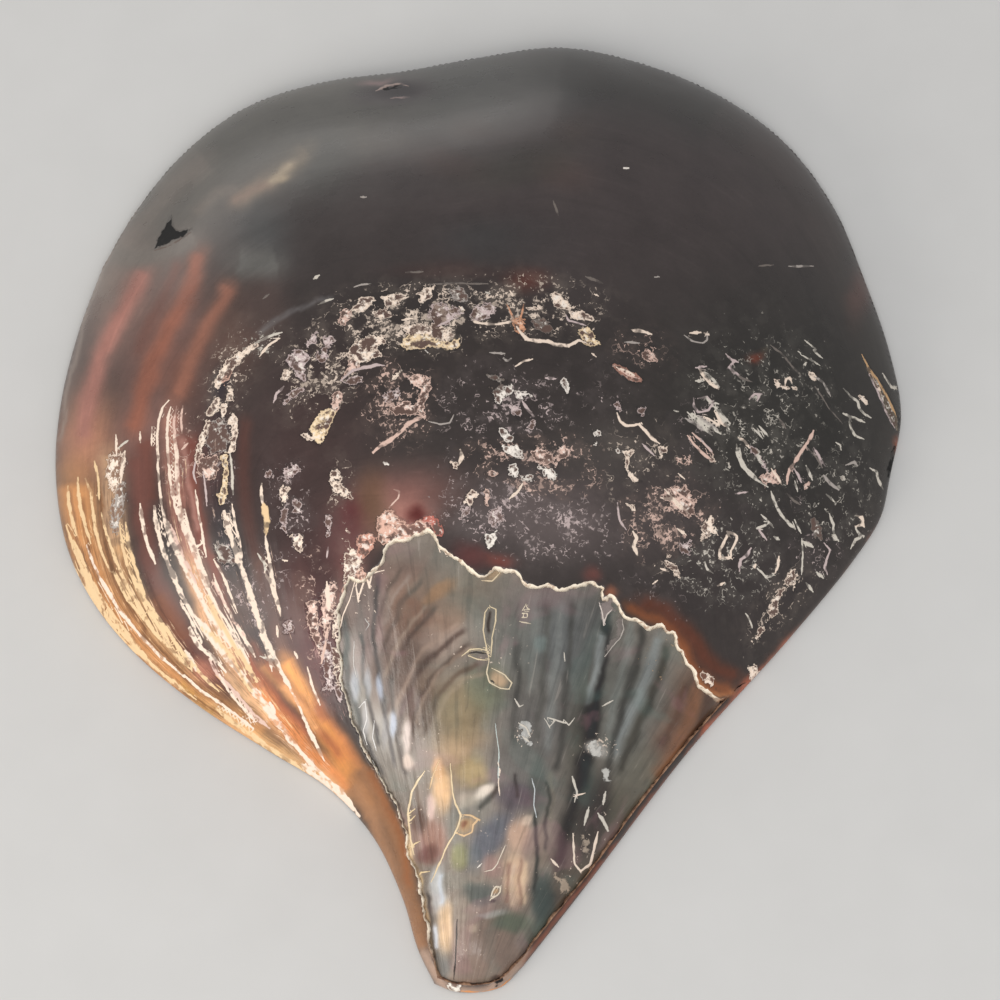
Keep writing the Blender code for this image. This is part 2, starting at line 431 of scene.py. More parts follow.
TONES = {
    "white": (248, 238, 226), "straw": (244, 216, 176), "cream": (248, 226, 206), "lilac": (206, 186, 182), "pink": (228, 194, 178),
    "gold": (240, 206, 160), "grey": (176, 166, 158), "tan": (205, 165, 122), "peach": (224, 180, 160),
    "silver": (216, 207, 193), "dull": (120, 110, 103), "rust": (165, 100, 78), "orange": (222, 162, 126),
}

DARK_BASE = (66, 60, 58)
DARK_MARKS = [
    (WHOLE, [
        # broad shades of the dark layer
        ("dab", (76, 68, 67), 300, 130, 0, 0.9, (600, 190)),
        ("dab", (58, 56, 53), 150, 130, 0, 0.9, (790, 410)),
        ("dab", (60, 54, 52), 150, 60, 0, 0.7, (430, 340)),
        ("dab", (76, 61, 59), 70, 110, 10, 0.9, (300, 460)),
        ("dab", (66, 60, 59), 130, 60, 15, 0.6, (720, 560)),
        ("dab", (104, 93, 91), 110, 44, 0, 0.95, (548, 515)),
        ("dab", (80, 72, 70), 60, 60, 0, 0.8, (655, 500)),
        # soft blurs of the polished posterior end
        ("dab", (88, 74, 70), 24, 16, 0, 0.8, (466, 122)),
        ("dab", (84, 73, 68), 20, 14, 0, 0.6, (571, 128)),
        ("dab", (86, 72, 68), 34, 18, 20, 0.7, (562, 171)),
        ("dab", (96, 88, 82), 30, 12, 0, 0.7, (377, 140)),
        ("dab", (80, 66, 62), 40, 14, 10, 0.5, (455, 165)),
        ("dab", (68, 66, 60), 60, 20, -15, 0.5, (520, 165)),
        ("dab", (100, 58, 50), 22, 12, 0, 0.75, (526, 279)),
        ("dab", (84, 62, 58), 60, 8, 0, 0.45, (450, 270)),
        ("dab", (100, 72, 66), 12, 30, 12, 0.7, (862, 292)),
        ("dab", (64, 66, 66), 60, 22, 0, 0.5, (500, 240)),
        # painted sheen on the posterior slope: grey painted reflection, on top of the real reflection of the low rear
        # lamp
        ("sweep", (116, 109, 101), 60, 1.0, [(100, 300), (150, 215), (210, 150), (290, 105), (360, 88)]),
        ("sweep", (88, 86, 82), 40, 0.9, [(120, 240), (190, 165), (270, 125), (350, 105), (450, 92), (500, 80)]),
        ("sweep", (82, 81, 79), 38, 0.85, [(430, 92), (520, 72), (590, 62)]),
        ("sweep", (58, 56, 55), 34, 0.8, [(560, 75), (650, 82), (720, 110)]),
        ("dab", (84, 84, 80), 40, 30, -30, 0.6, (320, 165)),
        ("dab", (76, 78, 78), 30, 40, 0, 0.6, (262, 235)),
        # the left flank below the painted sheen: warm streaks, partly the reddish-brown of the layer and partly painted
        # warm highlights on the growth folds
        ("dab", (122, 92, 84), 62, 78, 12, 0.95, (165, 345)),
        ("dab", (100, 78, 70), 34, 50, 10, 0.85, (235, 330)),
        ("dab", (86, 72, 68), 26, 34, 0, 0.9, (262, 305)),
        ("dab", (134, 112, 104), 26, 60, 15, 0.8, (112, 300)),
        ("dab", (104, 88, 82), 16, 60, 8, 0.8, (76, 360)),
        ("dab", (186, 132, 106), 34, 46, 8, 0.95, (88, 440)),
        ("dab", (130, 98, 90), 26, 40, 0, 0.9, (142, 430)),
        ("dab", (120, 82, 70), 16, 30, 0, 0.6, (178, 380)),
        ("sweep", (168, 116, 104), 10, 0.95, [(146, 270), (128, 300), (112, 330), (101, 356), (90, 400), (82, 440)]),
        ("sweep", (152, 98, 80), 10, 0.95, [(201, 252), (192, 280), (180, 308), (166, 334), (154, 358), (143, 395), (134, 430)]),
        ("sweep", (156, 106, 88), 8, 0.9, [(230, 285), (217, 308), (206, 326), (196, 350), (186, 376), (178, 398)]),
        ("sweep", (120, 84, 74), 6, 0.7, [(178, 262), (166, 292), (152, 320), (138, 352)]),
        ("sweep", (112, 66, 56), 8, 0.7, [(146, 440), (148, 470), (152, 500)]),
        # pale sweep along the upper left edge: painted sheen
        ("sweep", (132, 121, 113), 15, 0.6, [(96, 300), (116, 258), (142, 222), (172, 188), (205, 158)]),
        # lower edge of the painted sheen
        ("sweep", (120, 112, 105), 12, 0.95, [(112, 250), (130, 255), (154, 256), (178, 246), (196, 238)]),
        ("sweep", (104, 102, 98), 15, 0.9, [(236, 262), (255, 264), (275, 262)]),
        # tan flake sunk in the polish
        ("sweep", (128, 116, 102), 10, 0.75, [(240, 200), (268, 180), (292, 162), (308, 150)]),
        ("sweep", (140, 118, 104), 7, 0.8, [(233, 203), (252, 190), (270, 182)]),
        ("sweep", (116, 106, 98), 6, 0.7, [(196, 212), (216, 194), (236, 188)]),
        ("sweep", (176, 158, 134), 5, 0.85, [(268, 182), (281, 172), (291, 162)]),
        ("dab", (178, 158, 132), 8, 4, -20, 0.8, (283, 178)),
        # stains round the broken border
        ("dab", (140, 100, 92), 54, 30, -12, 1.0, (398, 500)),
        ("dab", (138, 112, 98), 22, 26, 30, 0.7, (372, 520)), ("dab", (180, 128, 116), 24, 16, 20, 0.85, (412, 516)), ("dab", (176, 126, 110), 14, 16, 0, 0.95, (351, 563)), ("dab", (170, 132, 120), 8, 22, 8, 0.8, (341, 600)),
        ("dab", (112, 84, 66), 16, 34, 5, 0.8, (370, 505)),
        ("dab", (118, 80, 78), 26, 40, 0, 0.8, (345, 545)),
        ("dab", (86, 57, 56), 34, 70, 0, 0.9, (300, 610)),
        ("dab", (104, 60, 62), 22, 60, -8, 0.8, (322, 660)),
        ("dab", (104, 60, 58), 20, 12, 20, 0.75, (470, 556)),
        ("dab", (130, 74, 66), 16, 7, 10, 0.8, (500, 561)),
        ("dab", (118, 74, 68), 9, 9, 0, 0.8, (592, 573)),
        ("dab", (150, 96, 74), 8, 7, 20, 0.9, (612, 592)),
        ("sweep", (196, 132, 88), 3.0, 0.9, [(676, 640), (684, 654), (692, 668), (704, 684), (718, 694), (734, 692)]),
        ("sweep", (138, 84, 56), 6, 0.9, [(628, 606), (646, 618), (660, 622), (672, 630), (682, 645), (690, 660), (702, 672), (716, 686), (733, 690)]),
        ("sweep", (110, 60, 44), 9, 0.7, [(640, 602), (664, 610), (684, 628), (700, 650), (716, 666), (738, 678)]),
        # the ventral bands
        ("sweep", (212, 150, 98), 24, 1.0, [(74, 480), (82, 540), (98, 588), (128, 634), (168, 676), (214, 712), (262, 742)]),
        ("sweep", (204, 164, 130), 13, 0.9, [(112, 455), (112, 500), (116, 540)]),
        ("sweep", (232, 180, 128), 10, 0.8, [(118, 545), (134, 592), (160, 634), (196, 672)]),
        ("sweep", (112, 74, 66), 12, 1.0, [(138, 455), (142, 520), (154, 575), (170, 610), (190, 645), (212, 672), (226, 688)]),
        ("sweep", (130, 82, 60), 10, 0.8, [(156, 598), (172, 622), (186, 640)]),
        ("sweep", (176, 126, 110), 11, 1.0, [(171, 412), (174, 470), (180, 520), (196, 575), (214, 620), (240, 668)]),
        ("sweep", (232, 178, 132), 10, 0.9, [(186, 560), (204, 610), (228, 655), (262, 706), (300, 750), (340, 790)]),
        ("sweep", (128, 74, 62), 7, 0.95, [(190, 440), (193, 490), (201, 535), (214, 570), (232, 615)]),
        ("sweep", (60, 55, 57), 10, 1.0, [(224, 372), (215, 410), (212, 450), (217, 505), (232, 560), (250, 612), (262, 650)]),
        ("sweep", (92, 64, 58), 7, 0.8, [(246, 420), (244, 470), (246, 520), (256, 560)]),
        ("sweep", (118, 88, 78), 8, 0.9, [(258, 560), (272, 605), (284, 650), (292, 668)]),
        ("sweep", (158, 92, 70), 9, 0.95, [(244, 655), (262, 684), (284, 712), (306, 738)]),
        ("sweep", (226, 146, 92), 9, 1.0, [(258, 690), (276, 716), (304, 746), (332, 770), (350, 788)]),
        ("sweep", (246, 168, 96), 10, 1.0, [(284, 660), (292, 674), (308, 700), (326, 730), (344, 756), (356, 776)]),
        ("sweep", (176, 106, 76), 8, 0.9, [(318, 706), (334, 732), (350, 758), (366, 786)]),
        ("sweep", (226, 150, 84), 10, 0.95, [(322, 722), (340, 752), (358, 780), (374, 806)]),
        ("sweep", (150, 108, 78), 11, 1.0, [(356, 768), (374, 796), (390, 826), (402, 856), (410, 884), (416, 912), (424, 950)]),
        ("sweep", (170, 126, 94), 8, 0.9, [(352, 784), (372, 822), (388, 860), (402, 900), (416, 944)]),
        ("sweep", (150, 96, 62), 4, 0.8, [(368, 770), (384, 800), (396, 828), (405, 856), (412, 886)]),
        ("sweep", (244, 190, 134), 7, 0.9, [(206, 704), (240, 728), (284, 756), (318, 780), (346, 804)]),
        ("sweep", (196, 150, 84), 4, 0.8, [(182, 684), (198, 702), (214, 713)]),
        ("dab", (204, 136, 112), 14, 10, 40, 0.9, (203, 672)),
        ("sweep", (136, 94, 64), 2.4, 0.85, [(98, 480), (104, 540), (118, 590), (146, 636), (186, 678), (230, 712)]), ("sweep", (150, 104, 70), 2.2, 0.8, [(82, 500), (90, 560), (110, 612), (146, 658), (190, 696), (240, 728)]),
        ("sweep", (146, 104, 74), 2.0, 0.8, [(70, 490), (76, 540), (92, 592), (120, 636)]), ("sweep", (140, 100, 70), 2.0, 0.7, [(120, 560), (136, 600), (162, 640), (196, 674)]),
        ("sweep", (226, 158, 92), 7, 0.7, [(262, 664), (284, 686), (306, 708), (330, 738)]), ("sweep", (150, 84, 62), 5, 0.6, [(250, 640), (270, 668), (292, 694), (316, 724), (342, 756)]),
        ("dab", (128, 84, 76), 30, 60, 10, 0.5, (196, 470)), ("sweep", (176, 130, 118), 3, 0.8, [(184, 440), (188, 480), (198, 530)]),
        ("sweep", (246, 196, 150), 5, 0.8, [(222, 672), (244, 694), (270, 716)]), ("sweep", (244, 176, 118), 5, 0.9, [(282, 684), (298, 704), (318, 728)]),
        ("dab", (92, 70, 64), 13, 34, -10, 0.9, (241, 606)), ("dab", (84, 60, 56), 16, 40, 0, 0.7, (268, 600)), ("dab", (110, 80, 72), 12, 30, 0, 0.6, (300, 600)), ("dab", (84, 78, 74), 50, 30, 0, 0.6, (600, 450)), ("dab", (78, 70, 69), 60, 30, 0, 0.6, (560, 240)),
        # rims
        ("sweep", (150, 136, 126), 2.2, 0.6, [(196, 128), (150, 182), (120, 232), (98, 280), (78, 340), (66, 395), (61, 440)]),
        ("sweep", (176, 100, 76), 4.6, 1.0, [(899, 440), (901, 470), (892, 506), (878, 536), (856, 566), (830, 598), (800, 632), (770, 662), (745, 688), (700, 740)]),
        ("sweep", (128, 78, 62), 2.4, 1.0, [(700, 740), (660, 790), (620, 842), (580, 890), (545, 935), (520, 970)]),
        # the dimple in the posterior slope
        ("dab", (72, 64, 66), 37, 12, -6, 1.0, (393, 93)),
        ("dab", (50, 44, 47), 24, 7, -6, 0.95, (400, 92)),
        ("dab", (150, 122, 120), 16, 3, -4, 0.8, (376, 82)),
        ("line", (170, 150, 142), 1.6, [(377, 89), (386, 85), (400, 83), (407, 85)]),
        # the black slit is painted shade in the dimple
        ("line", (16, 12, 14), 3.0, [(384, 88), (394, 86), (403, 85)]),
        ("line", (150, 132, 128), 2.2, [(392, 97), (400, 96), (408, 96)]),
        # the pit in the left flank: its black inside is painted shade
        ("chip", (16, 13, 12), 0.0, [(155, 248), (158, 238), (166, 226), (172, 216), (172, 226), (178, 232), (191, 229), (184, 236), (172, 240), (163, 245)]),
        ("line", (112, 98, 90), 1.6, [(156, 250), (166, 247), (178, 241), (190, 233)]),
        # rim at the tip
        ("sweep", (176, 148, 130), 6, 1.0, [(424, 950), (432, 972), (442, 986), (460, 992), (480, 992), (502, 984), (516, 968), (528, 950)]),
        ("chip", (236, 228, 216), 0.1, [(447, 984), (455, 980), (462, 986), (459, 992), (450, 991)]), ("chip", (26, 20, 18), 0.0, [(492, 976), (500, 973), (503, 980), (496, 986)]),
        ("line", (220, 150, 96), 1.6, [(462, 991), (480, 993), (500, 988), (512, 978)]),
        ("chip", "peach", 0.35, [(340, 600), (345, 584), (352, 572), (362, 566), (366, 574), (360, 584), (350, 592), (344, 606)]), ("chip", "cream", 0.45, [(334, 612), (342, 598), (346, 606), (340, 622), (338, 646), (333, 636)]),
        ("chip", "cream", 0.6, [(332, 650), (338, 646), (342, 668), (340, 690), (334, 676)]), ("chip", "peach", 0.3, [(392, 540), (404, 528), (420, 520), (430, 524), (422, 534), (408, 540)]),
        # chalky fingers inside the broken border
        ("line", "cream", 2.2, [(338, 612), (346, 604), (350, 592), (357, 584), (352, 598)]), ("line", "cream", 1.8, [(370, 574), (379, 572), (384, 566)]),
        ("chip", "cream", 0.5, [(342, 560), (352, 548), (362, 560), (358, 575), (346, 584)]), ("chip", "pink", 0.7, [(322, 590), (336, 580), (334, 612), (326, 640), (320, 620)]), ("chip", "lilac", 0.8, [(320, 640), (332, 640), (334, 690), (324, 690)]),
        ("chip", "cream", 0.5, [(700, 668), (712, 676), (716, 688), (704, 684)]), ("chip", (26, 20, 16), 0.0, [(703, 676), (709, 675), (712, 681), (706, 683)]),
        ("chip", (150, 144, 140), 0.1, [(601, 597), (610, 596), (617, 606), (623, 619), (622, 640), (614, 652), (608, 640), (609, 618)]),
        ("chip", "cream", 0.4, [(748, 668), (757, 664), (760, 673), (751, 680)]),
        # specks
        ("line", "white", 3.4, [(625.5, 168), (627, 168)]), ("line", "grey", 2.4, [(362, 197), (365, 197)]),
        ("line", "grey", 2.0, [(656, 277), (658, 277)]), ("line", "dull", 2.0, [(760, 266), (772, 265)]),
        ("line", "grey", 2.0, [(790, 266), (812, 266)]), ("line", "dull", 2.4, [(554, 202), (558, 214)]),
        ("line", "white", 3.4, [(385, 463), (387, 464)]), ("line", "white", 3.0, [(461, 308), (463, 309)]),
        ("line", "silver", 2.6, [(315, 278), (318, 276)]), ("line", "dull", 2.2, [(264, 298), (268, 295)]),
        # thin streaks that run into the chalky arc
        ("sweep", (112, 108, 108), 2.6, 0.7, [(258, 335), (272, 322), (292, 310), (314, 303), (330, 298)]),
        ("line", "silver", 2.2, [(319, 304), (326, 301), (332, 299)]),
    ]),
    (UPPER_MIDDLE, [
        ("chip", "cream", 0.25, [(50, 1330), (100, 1260), (160, 1258), (175, 1275), (150, 1300), (110, 1335)]),
        ("chip", "cream", 0.5, [(205, 1260), (300, 1235), (345, 1250), (290, 1290), (230, 1320), (215, 1290)]),
        ("chip", "cream", 0.4, [(380, 1240), (410, 1215), (465, 1205), (450, 1250), (400, 1300), (385, 1270)]),
        ("chip", "grey", 0.5, [(530, 1220), (590, 1215), (625, 1240), (630, 1290), (560, 1280)]),
        ("chip", "straw", 0.25, [(285, 1500), (340, 1440), (400, 1440), (440, 1420), (470, 1470), (540, 1478), (590, 1460), (590, 1505), (560, 1520), (500, 1508), (450, 1500), (400, 1515), (340, 1520)]),
        ("chip", "cream", 0.75, [(300, 1400), (380, 1390), (440, 1390), (500, 1400), (560, 1440), (520, 1480), (400, 1450), (330, 1440)]),
        ("line", "cream", 2.4, [(640, 1360), (660, 1380), (700, 1390), (770, 1392), (820, 1385), (870, 1370)]),
        ("chip", "orange", 0.6, [(840, 1375), (900, 1365), (905, 1420), (880, 1440), (855, 1415)]),
        ("line", "orange", 2.0, [(820, 1300), (840, 1340), (860, 1380)]), ("line", "orange", 1.8, [(900, 1300), (890, 1340), (880, 1380)]),
        ("line", "cream", 3.2, [(870, 1410), (890, 1440), (915, 1465), (970, 1475), (1020, 1475), (1050, 1490), (1120, 1497), (1170, 1470), (1200, 1480)]),
        ("chip", "cream", 0.4, [(1020, 1235), (1060, 1232), (1100, 1270), (1150, 1310), (1100, 1322), (1050, 1300)]),
        ("chip", "cream", 0.2, [(1120, 1330), (1180, 1322), (1250, 1365), (1240, 1378), (1190, 1372), (1130, 1365)]),
        ("line", "lilac", 2.0, [(1110, 1350), (1120, 1375), (1170, 1385), (1200, 1395)]),
        ("chip", "straw", 0.45, [(1170, 1420), (1215, 1408), (1245, 1440), (1275, 1490), (1240, 1503), (1190, 1485)]),
        ("chip", "lilac", 0.8, [(640, 1340), (680, 1300), (770, 1290), (760, 1340), (700, 1380), (650, 1375)]),
        ("chip", "dull", 0.7, [(940, 1370), (1000, 1360), (1050, 1420), (1010, 1440), (950, 1400)]),
        ("chip", "cream", 0.3, [(915, 1312), (985, 1300), (1000, 1320), (930, 1322)]),
        ("line", "grey", 1.8, [(75, 1210), (105, 1200), (145, 1195)]), ("line", "dull", 1.4, [(440, 1196), (560, 1192), (720, 1195)]),
        ("line", "cream", 2.6, [(310, 1370), (350, 1365)]), ("line", "cream", 2.6, [(270, 1280), (330, 1262)]),
        ("chip", "lilac", 0.85, [(440, 1300), (520, 1290), (600, 1330), (560, 1380), (480, 1400), (430, 1360)]),
        ("chip", "cream", 0.8, [(150, 1330), (230, 1310), (250, 1350), (190, 1370)]),
        ("chip", "pink", 0.7, [(0, 1330), (30, 1300), (60, 1340), (20, 1400), (0, 1400)]),
        ("line", "cream", 2.4, [(590, 1310), (605, 1320)]), ("line", "silver", 2.4, [(720, 1237), (728, 1240)]),
        ("line", "cream", 2.4, [(838, 1236), (844, 1246)]), ("line", "cream", 2.2, [(1252, 1248), (1260, 1252)]),
        ("line", "cream", 2.0, [(1240, 1540), (1250, 1548)]), ("line", "dull", 2.2, [(1210, 1160), (1280, 1190)]),
        ("line", "cream", 2.6, [(1435, 1420), (1480, 1425), (1520, 1440)]), ("line", "grey", 1.8, [(1400, 1482), (1460, 1485)]),
        ("line", "grey", 2.4, [(740, 1532), (800, 1536)]), ("line", "dull", 1.8, [(330, 1140), (400, 1135)]),
        ("chip", "cream", 0.75, [(60, 1490), (150, 1440), (230, 1460), (200, 1500), (120, 1530), (60, 1568), (20, 1550)]),
        ("line", "lilac", 2.2, [(480, 1400), (540, 1370), (560, 1340), (600, 1340)]),
    ]),
    (MIDDLE_LEFT, [
        # the ribbon of flakes that runs down from the chalky arc
        ("chip", "cream", 0.3, [(850, 275), (875, 205), (910, 150), (960, 122), (1050, 60), (1072, 78), (1000, 132), (950, 190), (905, 250), (865, 290)]),
        ("chip", "peach", 0.5, [(880, 250), (905, 180), (945, 165), (940, 215), (900, 270)]),
        ("line", "silver", 2.6, [(1060, 60), (1100, 42), (1140, 25), (1180, 15)]), ("line", "cream", 2.6, [(1080, 125), (1120, 75), (1170, 45)]),
        ("chip", "cream", 0.2, [(920, 290), (945, 288), (947, 342), (920, 356)]),
        ("chip", "cream", 0.3, [(815, 440), (825, 385), (850, 350), (880, 330), (885, 360), (850, 420)]),
        ("chip", "cream", 0.3, [(880, 400), (905, 355), (925, 350), (905, 420), (890, 430)]),
        ("chip", "cream", 0.2, [(925, 430), (945, 398), (968, 430), (968, 520), (955, 590), (925, 612), (920, 590), (940, 520), (938, 470), (918, 460)]),
        ("chip", "cream", 0.35, [(830, 430), (800, 480), (778, 540), (765, 590), (758, 640), (772, 650), (790, 590), (812, 530), (838, 470)]),
        ("chip", "grey", 0.85, [(830, 450), (900, 430), (930, 520), (910, 600), (840, 600), (810, 560)]),
        ("chip", "straw", 0.2, [(880, 612), (917, 600), (920, 700), (917, 780), (905, 860), (882, 855), (868, 810), (895, 760), (900, 680)]),
        ("line", "silver", 2.2, [(932, 610), (942, 700), (945, 800)]), ("chip", "pink", 0.85, [(780, 620), (870, 610), (880, 700), (830, 740), (770, 700)]),
        ("line", "lilac", 2.0, [(800, 700), (812, 780), (818, 855)]), ("line", "lilac", 2.2, [(760, 650), (752, 700), (765, 745)]),
        ("line", "cream", 5.2, [(905, 895), (925, 980), (950, 1060), (975, 1130), (1000, 1200), (1025, 1290), (1060, 1390), (1095, 1480), (1120, 1560)]),
        ("line", "cream", 2.4, [(940, 860), (955, 950), (980, 1040), (992, 1130)]), ("chip", "cream", 0.6, [(895, 900), (930, 895), (945, 960), (920, 1010), (900, 960)]),
        ("line", "silver", 2.2, [(860, 1060), (880, 1110), (910, 1130)]), ("chip", "grey", 0.85, [(860, 1040), (930, 1060), (960, 1140), (900, 1150), (870, 1110)]),
        ("line", "cream", 2.6, [(762, 790), (770, 860), (785, 940), (800, 1030), (812, 1105)]), ("line", "cream", 2.2, [(765, 1065), (795, 1045)]),
        ("line", "cream", 3.4, [(492, 858), (500, 930), (515, 1010), (538, 1080), (562, 1138)]),
        # the bright ventral band
        ("line", "cream", 2.4, [(626, 350), (600, 380), (582, 440), (572, 520), (578, 640), (582, 740), (592, 830), (606, 910)]),
        ("line", "cream", 3.0, [(640, 385), (625, 430), (622, 520), (630, 640), (640, 740), (655, 830), (668, 900)]),
        ("line", "pink", 2.4, [(668, 380), (655, 450), (665, 540), (672, 640), (680, 740)]), ("line", "pink", 2.2, [(700, 378), (690, 430), (695, 500)]),
        ("line", "cream", 3.6, [(655, 520), (672, 620), (668, 700), (676, 800), (690, 880), (702, 960)]),
        ("line", "cream", 4.6, [(562, 870), (572, 960), (596, 1050), (625, 1140), (662, 1230), (700, 1310), (735, 1370)]),
        ("line", "cream", 5.6, [(600, 880), (620, 960), (648, 1040), (690, 1120), (735, 1210), (780, 1300), (820, 1380), (870, 1460), (930, 1540)]),
        ("line", "cream", 4.2, [(672, 880), (700, 960), (735, 1040), (765, 1120), (795, 1210), (835, 1300), (880, 1390)]),
        ("line", "pink", 3.4, [(640, 960), (680, 1060), (720, 1150), (765, 1240)]), ("line", "cream", 2.6, [(708, 880), (730, 980), (770, 1080), (800, 1170), (830, 1250)]),
        ("line", "cream", 2.6, [(850, 1200), (880, 1280), (920, 1370), (965, 1450), (1005, 1530)]), ("line", "cream", 2.6, [(855, 1130), (895, 1200), (930, 1290), (965, 1380)]),
        ("line", "pink", 2.2, [(700, 580), (720, 560)]), ("line", "cream", 2.0, [(490, 505), (492, 545)]), ("line", "cream", 2.0, [(548, 480), (545, 560)]),
        ("line", "cream", 3.0, [(690, 1340), (730, 1400), (760, 1470), (790, 1520)]), ("line", "cream", 3.0, [(735, 1465), (760, 1530), (790, 1568)]),
        # the outer golden band
        ("line", "gold", 3.2, [(138, 772), (142, 850), (158, 930), (176, 1000)]), ("line", "gold", 3.0, [(186, 730), (188, 800), (200, 880), (222, 960), (245, 1040)]),
        ("line", "gold", 3.0, [(225, 735), (248, 790), (258, 880), (270, 980), (300, 1080), (340, 1180)]), ("line", "gold", 2.4, [(270, 650), (285, 730), (290, 830)]),
        ("line", "cream", 2.6, [(372, 520), (374, 600)]), ("line", "silver", 2.6, [(390, 570), (424, 545)]), ("line", "cream", 3.2, [(415, 600), (400, 660), (395, 740)]),
        ("chip", "cream", 0.7, [(340, 605), (400, 600), (420, 640), (400, 720), (360, 840), (345, 760), (320, 700)]),
        ("chip", "grey", 0.75, [(380, 740), (412, 745), (415, 840), (400, 920), (372, 1000), (340, 960), (350, 860)]),
        ("line", "gold", 3.2, [(420, 950), (432, 1040), (455, 1130), (485, 1220), (515, 1300)]), ("line", "gold", 3.0, [(390, 950), (405, 1060), (430, 1160), (470, 1260), (520, 1360), (580, 1450), (640, 1540)]),
        ("line", "gold", 2.8, [(300, 900), (325, 1000), (360, 1100), (400, 1200), (450, 1300), (505, 1390), (570, 1490)]),
        ("line", "gold", 2.8, [(165, 1030), (205, 1120), (250, 1220), (300, 1310), (360, 1400), (430, 1490), (490, 1560)]),
        ("line", "gold", 3.0, [(130, 960), (160, 1060), (200, 1160), (250, 1260), (310, 1360), (380, 1450), (450, 1540)]),
        ("line", "cream", 2.6, [(230, 1060), (262, 1150), (310, 1250), (360, 1330), (420, 1420)]),
        # the third line and the scatter inside it
        ("line", "cream", 2.6, [(1086, 758), (1084, 800), (1092, 850)]), ("line", "gold", 5.6, [(1094, 850), (1108, 900), (1112, 960), (1104, 1000)]),
        ("line", "cream", 3.0, [(1100, 1000), (1110, 1050), (1122, 1120), (1135, 1190), (1150, 1260), (1165, 1330), (1178, 1395)]), ("line", "silver", 2.4, [(1070, 1100), (1095, 1140), (1105, 1190)]),
        ("chip", "cream", 0.5, [(1160, 780), (1215, 765), (1212, 830), (1190, 860), (1175, 810)]), ("chip", "lilac", 0.6, [(1240, 820), (1290, 850), (1275, 900), (1240, 890)]),
        ("chip", "cream", 0.6, [(1220, 1010), (1280, 1000), (1292, 1050), (1265, 1090), (1240, 1040)]), ("chip", "lilac", 0.7, [(1180, 880), (1215, 870), (1210, 990), (1185, 990)]),
        ("chip", "lilac", 0.7, [(1100, 690), (1145, 690), (1140, 720), (1110, 715)]), ("chip", "lilac", 0.75, [(1180, 690), (1260, 640), (1270, 690), (1210, 740)]),
        ("chip", "cream", 0.5, [(1420, 680), (1470, 690), (1480, 730), (1445, 735), (1520, 790), (1530, 825), (1440, 800), (1420, 740)]),
        ("chip", "lilac", 0.3, [(1205, 140), (1240, 105), (1290, 95), (1325, 130), (1300, 180), (1295, 250), (1262, 232), (1240, 185), (1215, 175)]),
        ("chip", "cream", 0.5, [(1180, 240), (1205, 195), (1235, 205), (1210, 245)]), ("chip", "lilac", 0.7, [(1190, 350), (1240, 285), (1285, 270), (1290, 300), (1240, 330), (1195, 375)]),
        ("line", "lilac", 2.4, [(1145, 350), (1160, 310), (1190, 280)]),
        ("chip", "straw", 0.15, [(1320, 470), (1380, 398), (1432, 380), (1455, 400), (1420, 470), (1395, 530), (1370, 566), (1345, 545), (1330, 520)]),
        ("chip", "pink", 0.3, [(1425, 385), (1440, 300), (1465, 300), (1492, 312), (1465, 370), (1455, 400)]), ("chip", "cream", 0.3, [(1272, 510), (1300, 505), (1335, 520), (1350, 545), (1290, 532)]),
        ("chip", "lilac", 0.5, [(1300, 65), (1350, 8), (1370, 0), (1360, 45), (1310, 85)]), ("chip", "lilac", 0.6, [(1380, 45), (1430, 20), (1450, 55), (1400, 90)]),
        ("chip", "pink", 0.5, [(1480, 240), (1520, 150), (1568, 100), (1568, 180), (1520, 215)]), ("chip", "lilac", 0.8, [(1350, 120), (1400, 90), (1420, 130), (1380, 160)]),
        ("chip", "lilac", 0.6, [(1395, 905), (1422, 905), (1420, 1000), (1405, 1010)]), ("line", "cream", 3.6, [(1408, 1240), (1410, 1290), (1414, 1360)]),
        ("chip", "pink", 0.5, [(1305, 1340), (1350, 1325), (1362, 1400), (1350, 1470), (1320, 1440)]), ("line", "lilac", 2.4, [(1410, 1070), (1405, 1110)]),
        ("line", "cream", 2.6, [(1195, 1128), (1205, 1130)]), ("line", "cream", 2.4, [(1505, 985), (1512, 990)]),
    ]),
    (LOWER_LEFT, [
        ("line", "cream", 4.2, [(1010, 80), (1040, 180), (1070, 290), (1110, 390), (1150, 480), (1190, 560), (1235, 650)]),
        ("line", "cream", 3.4, [(1235, 650), (1270, 720), (1300, 790), (1325, 850), (1355, 910), (1390, 978)]),
        ("line", "cream", 3.0, [(1080, 370), (1110, 430), (1135, 540)]), ("line", "silver", 2.4, [(1085, 475), (1130, 500), (1150, 470)]),
        ("line", "cream", 7.0, [(740, 250), (800, 330), (870, 420), (940, 500), (1010, 590), (1080, 680), (1150, 780), (1220, 870)]),
        ("line", "cream", 4.2, [(1180, 830), (1250, 910), (1320, 990), (1390, 1060), (1450, 1110), (1520, 1180)]),
        ("line", "gold", 6.5, [(790, 330), (860, 390), (920, 460), (985, 560), (1060, 660)]), ("line", "gold", 4.4, [(820, 180), (870, 290), (930, 390), (1000, 490), (1060, 590)]),
        ("line", "cream", 3.6, [(730, 338), (762, 400), (812, 450), (860, 490), (905, 545)]), ("line", "cream", 3.0, [(718, 450), (745, 490), (762, 540)]),
        ("line", "pink", 3.4, [(830, 490), (870, 560), (930, 620), (1000, 700), (1060, 770), (1120, 820)]), ("line", "cream", 2.6, [(880, 560), (920, 640), (980, 710), (1050, 790)]),
        ("line", "cream", 3.6, [(880, 250), (930, 330), (985, 430), (1020, 500)]), ("line", "cream", 3.2, [(975, 330), (1010, 400), (1050, 470)]), ("line", "pink", 2.6, [(850, 110), (900, 200), (950, 300), (1000, 370)]),
        ("line", "cream", 3.4, [(1130, 700), (1150, 745)]), ("line", "orange", 3.0, [(1180, 800), (1240, 880), (1260, 900)]),
